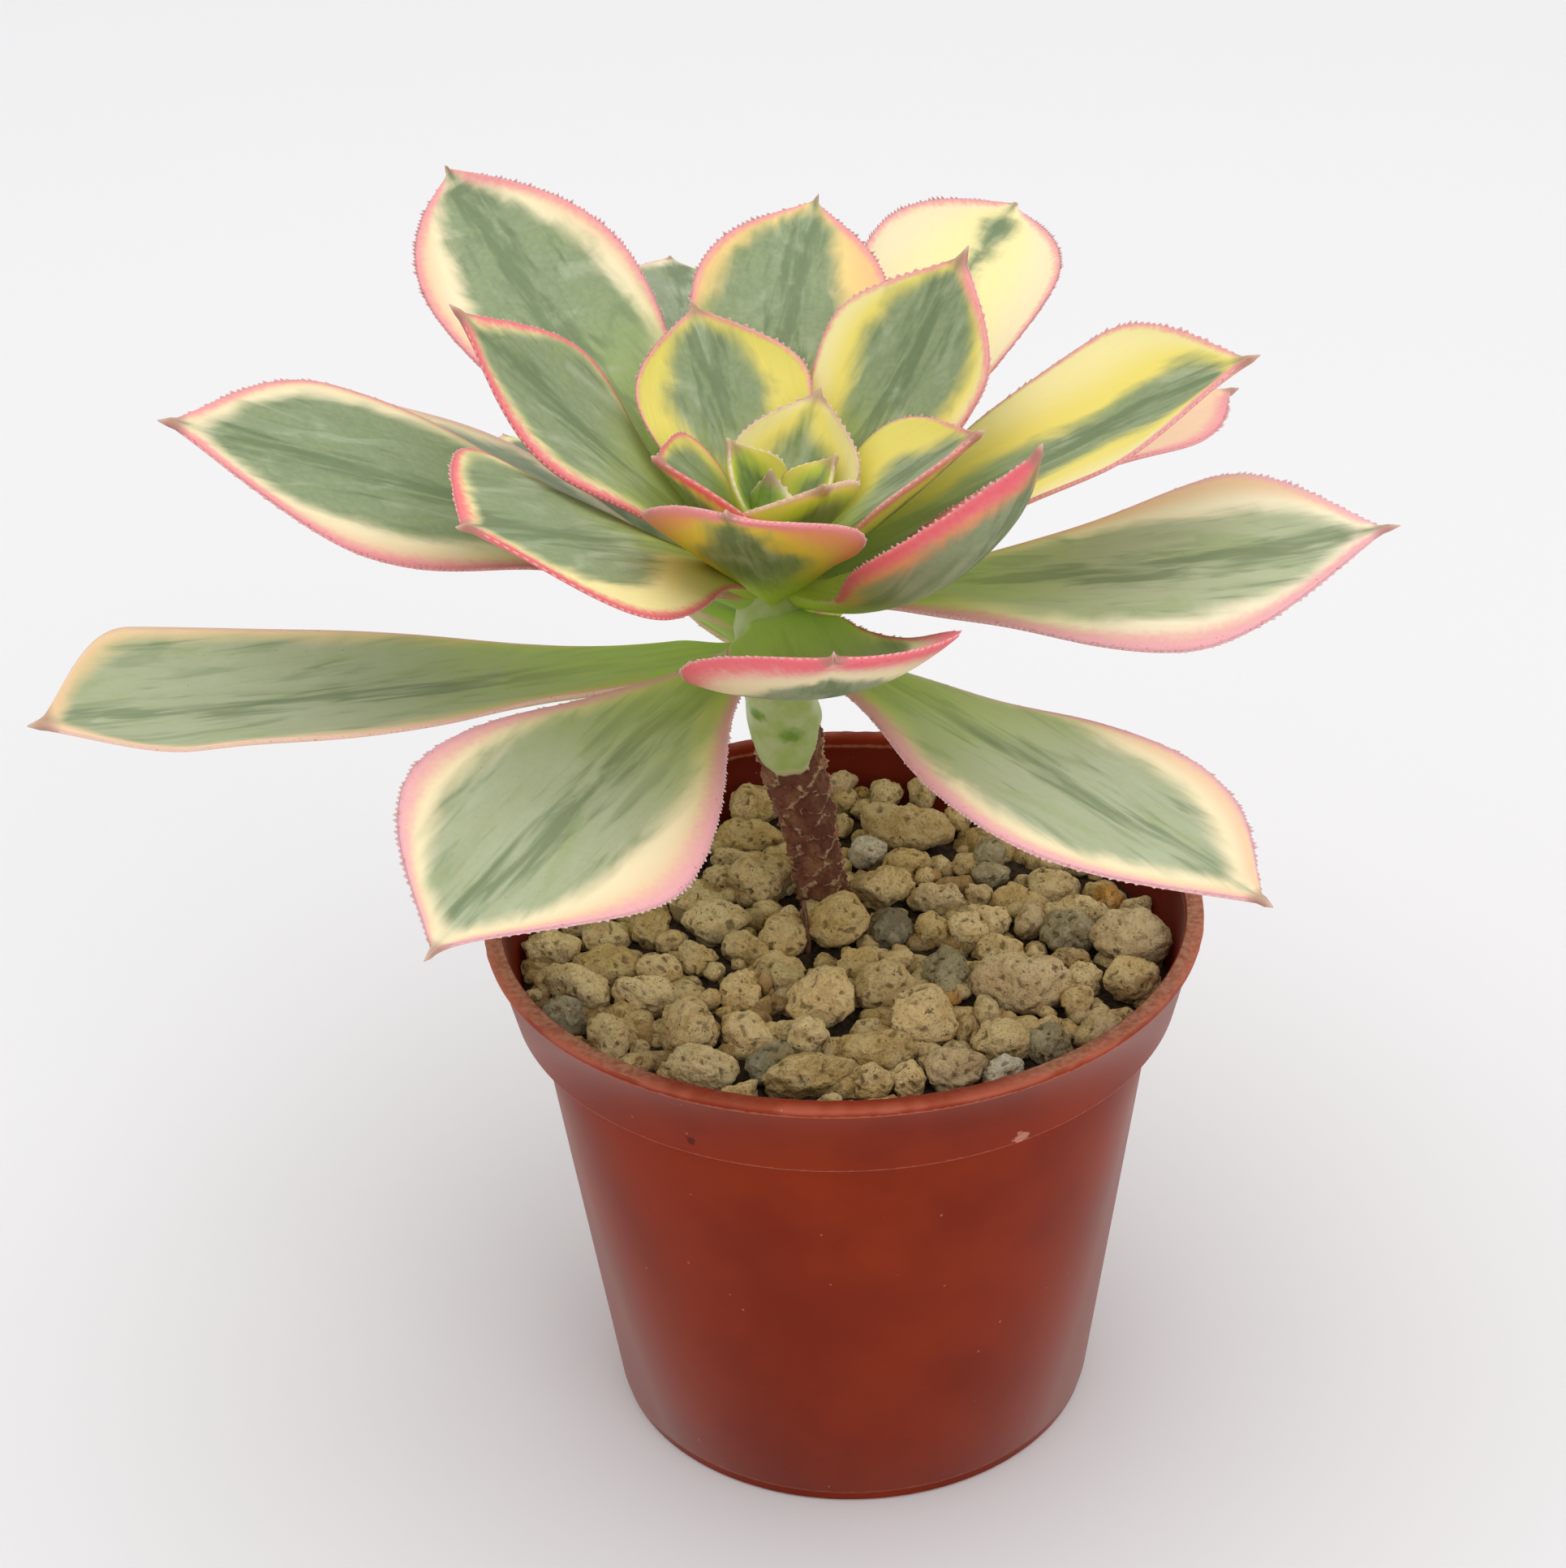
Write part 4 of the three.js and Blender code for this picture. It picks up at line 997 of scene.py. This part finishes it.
def pot_body():
    bm = bmesh.new()
    burr_at, dust_at, outer_at, shade_at = map(bm.verts.layers.float.new, POT_LAYERS)
    section = [bm.verts.new((radius * MM, 0, height * MM)) for radius, height in POT_SECTION]
    links = [bm.edges.new(pair) for pair in zip(section, section[1:])]
    turned = {"cent": (0, 0, 0), "axis": (0, 0, 1), "angle": 2 * math.pi, "steps": POT_STEPS}
    bmesh.ops.spin(bm, geom=section + links, use_merge=True, **turned)
    foot, inner = ring_edges(bm, *POT_SECTION[0]), ring_edges(bm, *POT_SECTION[-1])
    holes = []
    for i in range(DRAIN_HOLES):
        angle = 2 * math.pi * i / DRAIN_HOLES
        middle = Vector((math.cos(angle), math.sin(angle), 0)) * DRAIN_CIRCLE * MM
        pair = []
        for level, loop in ((0, foot), (POT_SECTION[-1][1], inner)):
            at = Matrix.Translation(middle + Vector((0, 0, level * MM)))
            circle = bmesh.ops.create_circle(bm, segments=24, radius=DRAIN_RADIUS * MM, matrix=at)
            edges = list({e for v in circle["verts"] for e in v.link_edges})
            loop.extend(edges)
            pair.extend(edges)
        holes.append(pair)
    for loop in (foot, inner):
        bmesh.ops.triangle_fill(bm, use_beauty=True, edges=loop)
    for pair in holes:
        bmesh.ops.bridge_loops(bm, edges=pair)
    for (radius, height), offset in ROUNDED_RINGS.items():
        rounded = {"offset": offset * MM, "offset_type": "OFFSET", "segments": 3, "profile": 0.5}
        ring = ring_edges(bm, radius, height)
        bmesh.ops.bevel(bm, geom=ring, affect="EDGES", material=-1, **rounded)
    # The lip was trimmed by hand: its outer edge carries a fine, uneven burr, and its top
    # isn't quite flat
    for v in bm.verts:
        out = v.co.xy.length
        wall = mix(*WALL_RADII, v.co.z / (WALL_HEIGHT * MM)) * MM
        v[outer_at] = out > wall - WALL_NEAR * MM
        # Painted shade on the band's inner face
        midway = mix(*BAND_RADII, (v.co.z / MM - BAND_FOOT) / BAND_HEIGHT) * MM
        v[shade_at] = out < midway and BAND_FOOT * MM < v.co.z < BAND_TOP * MM
        if v.co.z < LIP_FOOT * MM:
            continue
        angle = math.atan2(v.co.y, v.co.x)
        round_rim = Vector((math.cos(angle), math.sin(angle), 0))
        v.co.z += (0.07 * noise.noise(round_rim * 25) + 0.04 * noise.noise(round_rim * 90)) * MM
        on_face = v.co.z > LIP_FACE * MM and LIP_INSIDE * MM < out < LIP_OUTSIDE * MM
        dusted = abs(round_rim.x) + 0.4 * noise.noise(round_rim * 3)
        v[dust_at] = on_face * smooth(0.1, 0.85, dusted)
        if out > LIP_BURR * MM:
            ragged = noise.noise(round_rim * 6) + 0.5 * noise.noise(round_rim * 23)
            v[burr_at] = 0.45 + 0.55 * smooth(-0.4, 0.5, ragged)
            v.co.xy *= 1 + 0.2 * v[burr_at] * MM / out
    bmesh.ops.recalc_face_normals(bm, faces=bm.faces)
    return bm


def pot_plastic(tree, place):
    """Injection moulded polypropylene, red-brown: satin, hazy where it is seen aslant, with dust
    on its flat lip, painted shade on the band's inner face, and a bright scuffed line where
    the lip was trimmed."""
    height = add(tree, "SeparateXYZ", {0: place}, "Z")
    burr, dust, outer, shade = (
        add(tree, "Attribute", {}, "Fac", attribute_name=name) for name in POT_LAYERS
    )
    # Haze in clouds about 14 mm across, scuffs about 0.7 mm, dust specks about 4.5 mm apart
    haze = add(tree, "TexNoise", {"Vector": place, "Scale": 1 / (14 * MM), "Detail": 4.0})
    fine = add(tree, "TexNoise", {"Vector": place, "Scale": 1 / (0.7 * MM), "Detail": 3.0})
    specks = add(tree, "TexVoronoi", {"Vector": place, "Scale": 1 / (4.5 * MM)}, "Distance")
    dust_and_shade = stain(tree, linear("#8F5844"), (fine, 0.3, 0.7, 1.0, "#B58468"))
    colour = stain(
        tree,
        linear("#7B2610"),
        (haze, 0.3, 0.7, 1.0, "#8A2F15"),
        # Painted shade on the band's inner face
        (shade, 0.0, 1.0, 0.55, "#44100A"),
        (specks, 0.05, 0.02, 0.35, "#C9A898"),
        (dust, 0.0, 1.0, 0.9, dust_and_shade),
        (burr, 0.0, 1.0, 0.6, "#C46C55"),
    )
    # Pale lines where mould parts met: under the lip, where the band ends, and at the foot
    rough = add(tree, "Math", {0: fine, 1: 0.5 * MM, 2: 0.0}, operation="MULTIPLY_ADD")
    rough = add(tree, "Math", {0: outer, 1: -1.0 * MM, 2: rough}, operation="MULTIPLY_ADD")
    for level, strength in ((65.75, 0.35), (56.55, 0.3), (1.5, 0.25)):
        off = add(tree, "Math", {0: height, 1: level * MM}, operation="SUBTRACT")
        off = add(tree, "Math", {0: off}, operation="ABSOLUTE")
        off = add(tree, "Math", {0: off, 1: rough}, operation="ADD")
        colour = stain(tree, colour, (off, -0.4 * MM, -0.7 * MM, strength, "#CF8A72"))
    # A dark nick and a pale scuff on the front of the band
    for spot, reach, tone in ((NICK, 0.7, "#3A0F08"), (SCUFF, 1.1, "#C98A78")):
        mark = [c * MM for c in spot]
        off = add(tree, "VectorMath", {0: place, 1: mark}, "Value", operation="DISTANCE")
        off = add(tree, "Math", {0: fine, 1: 2.4 * MM, 2: off}, operation="MULTIPLY_ADD")
        colour = stain(tree, colour, (off, (reach + 1.2) * MM, (reach + 0.8) * MM, 0.7, tone))
    return {
        "Base Color": colour,
        "Roughness": add(tree, "MapRange", {"Value": haze, "To Min": 0.4, "To Max": 0.6}),
        "Normal": add(tree, "Bump", {"Height": fine, "Strength": 0.1, "Distance": 0.08 * MM}),
        "Specular IOR Level": 0.05,
        "Sheen Weight": 0.3,
        "Sheen Roughness": 0.22,
        "Sheen Tint": linear("#FFF0EA"),
    }


pot_material = make_material("moulded_polypropylene", pot_plastic)
put_piece(pot_body(), "nursery_pot", pot_material, ["pot"])

# ---------------- stage, light and camera
# The sheet under and behind the part, in metres
SHEET_HALF_WIDTH = 6
SHEET_FRONT, SHEET_REACH = -3.0, 5.0  # where it begins, and how far it runs along itself
SHEET_BEND = 1.6  # where it starts to curve up, in a quarter turn of 1 m radius

# The camera, found from the rim, the band and the foot of the pot in the photograph
FOCAL_PIXELS, PHOTO_PIXELS = 4040, 1932
SENSOR = 36
CAMERA_PLACE = (0, -0.3318, 0.2715)
CAMERA_RIGHT = Vector((0.99956, 0.00322, -0.02957))
CAMERA_UP = Vector((0.02412, 0.49370, 0.86930))
CAMERA_AHEAD = Vector((-0.01739, 0.86963, -0.49340))


def stage_sheet():
    """A pale table top that curves up into the wall behind."""
    bm = bmesh.new()
    bmesh.ops.create_grid(bm, x_segments=1, y_segments=60, size=1)
    for v in bm.verts:
        run = mix(SHEET_FRONT, SHEET_REACH, (v.co.y + 1) / 2)
        bend = max(run - SHEET_BEND, 0)
        turn = min(bend, math.pi / 2)
        level = 1 - math.cos(turn) + max(bend - math.pi / 2, 0)
        v.co = Vector((v.co.x * SHEET_HALF_WIDTH, min(run, SHEET_BEND) + math.sin(turn), level))
    # Matt white card: even and pale, with no gleam
    card = make_material("white_card", {"Base Color": linear("#E8E7E7"), "Roughness": 0.9})
    sheet = place_mesh(bm, "table_and_wall", card)


stage_sheet()
scene = bpy.context.scene
world = bpy.data.worlds.new("soft_room_light")
scene.world = world
world.use_nodes = True
room = {"Color": linear("#FBFBFD"), "Strength": 0.88}
plug(world.node_tree, world.node_tree.nodes["Background"], room)


def soft_light(name, place, aim, size, power):
    lamp = bpy.data.lights.new(name, "AREA")
    lamp.shape = "DISK"
    lamp.size = size
    lamp.energy = power
    holder = bpy.data.objects.new(name, lamp)
    holder.location = place
    holder.rotation_euler = (Vector(aim) - Vector(place)).to_track_quat("-Z", "Y").to_euler()
    scene.collection.objects.link(holder)


soft_light("large_top_light", (-0.05, 0.1, 1.4), (0, 0, 0.06), 1.8, 8)
soft_light("front_fill", (0.7, -1.1, 0.8), (0, 0, 0.08), 1.0, 3)

camera = bpy.data.cameras.new("camera")
camera.sensor_width = SENSOR
camera.lens = FOCAL_PIXELS / PHOTO_PIXELS * SENSOR
camera.clip_start = 0.01
viewer = bpy.data.objects.new("camera", camera)
turned = Matrix((CAMERA_RIGHT, CAMERA_UP, -CAMERA_AHEAD)).transposed().to_4x4()
viewer.matrix_world = Matrix.Translation(CAMERA_PLACE) @ turned
scene.collection.objects.link(viewer)
scene.camera = viewer
scene.view_settings.view_transform = "Standard"
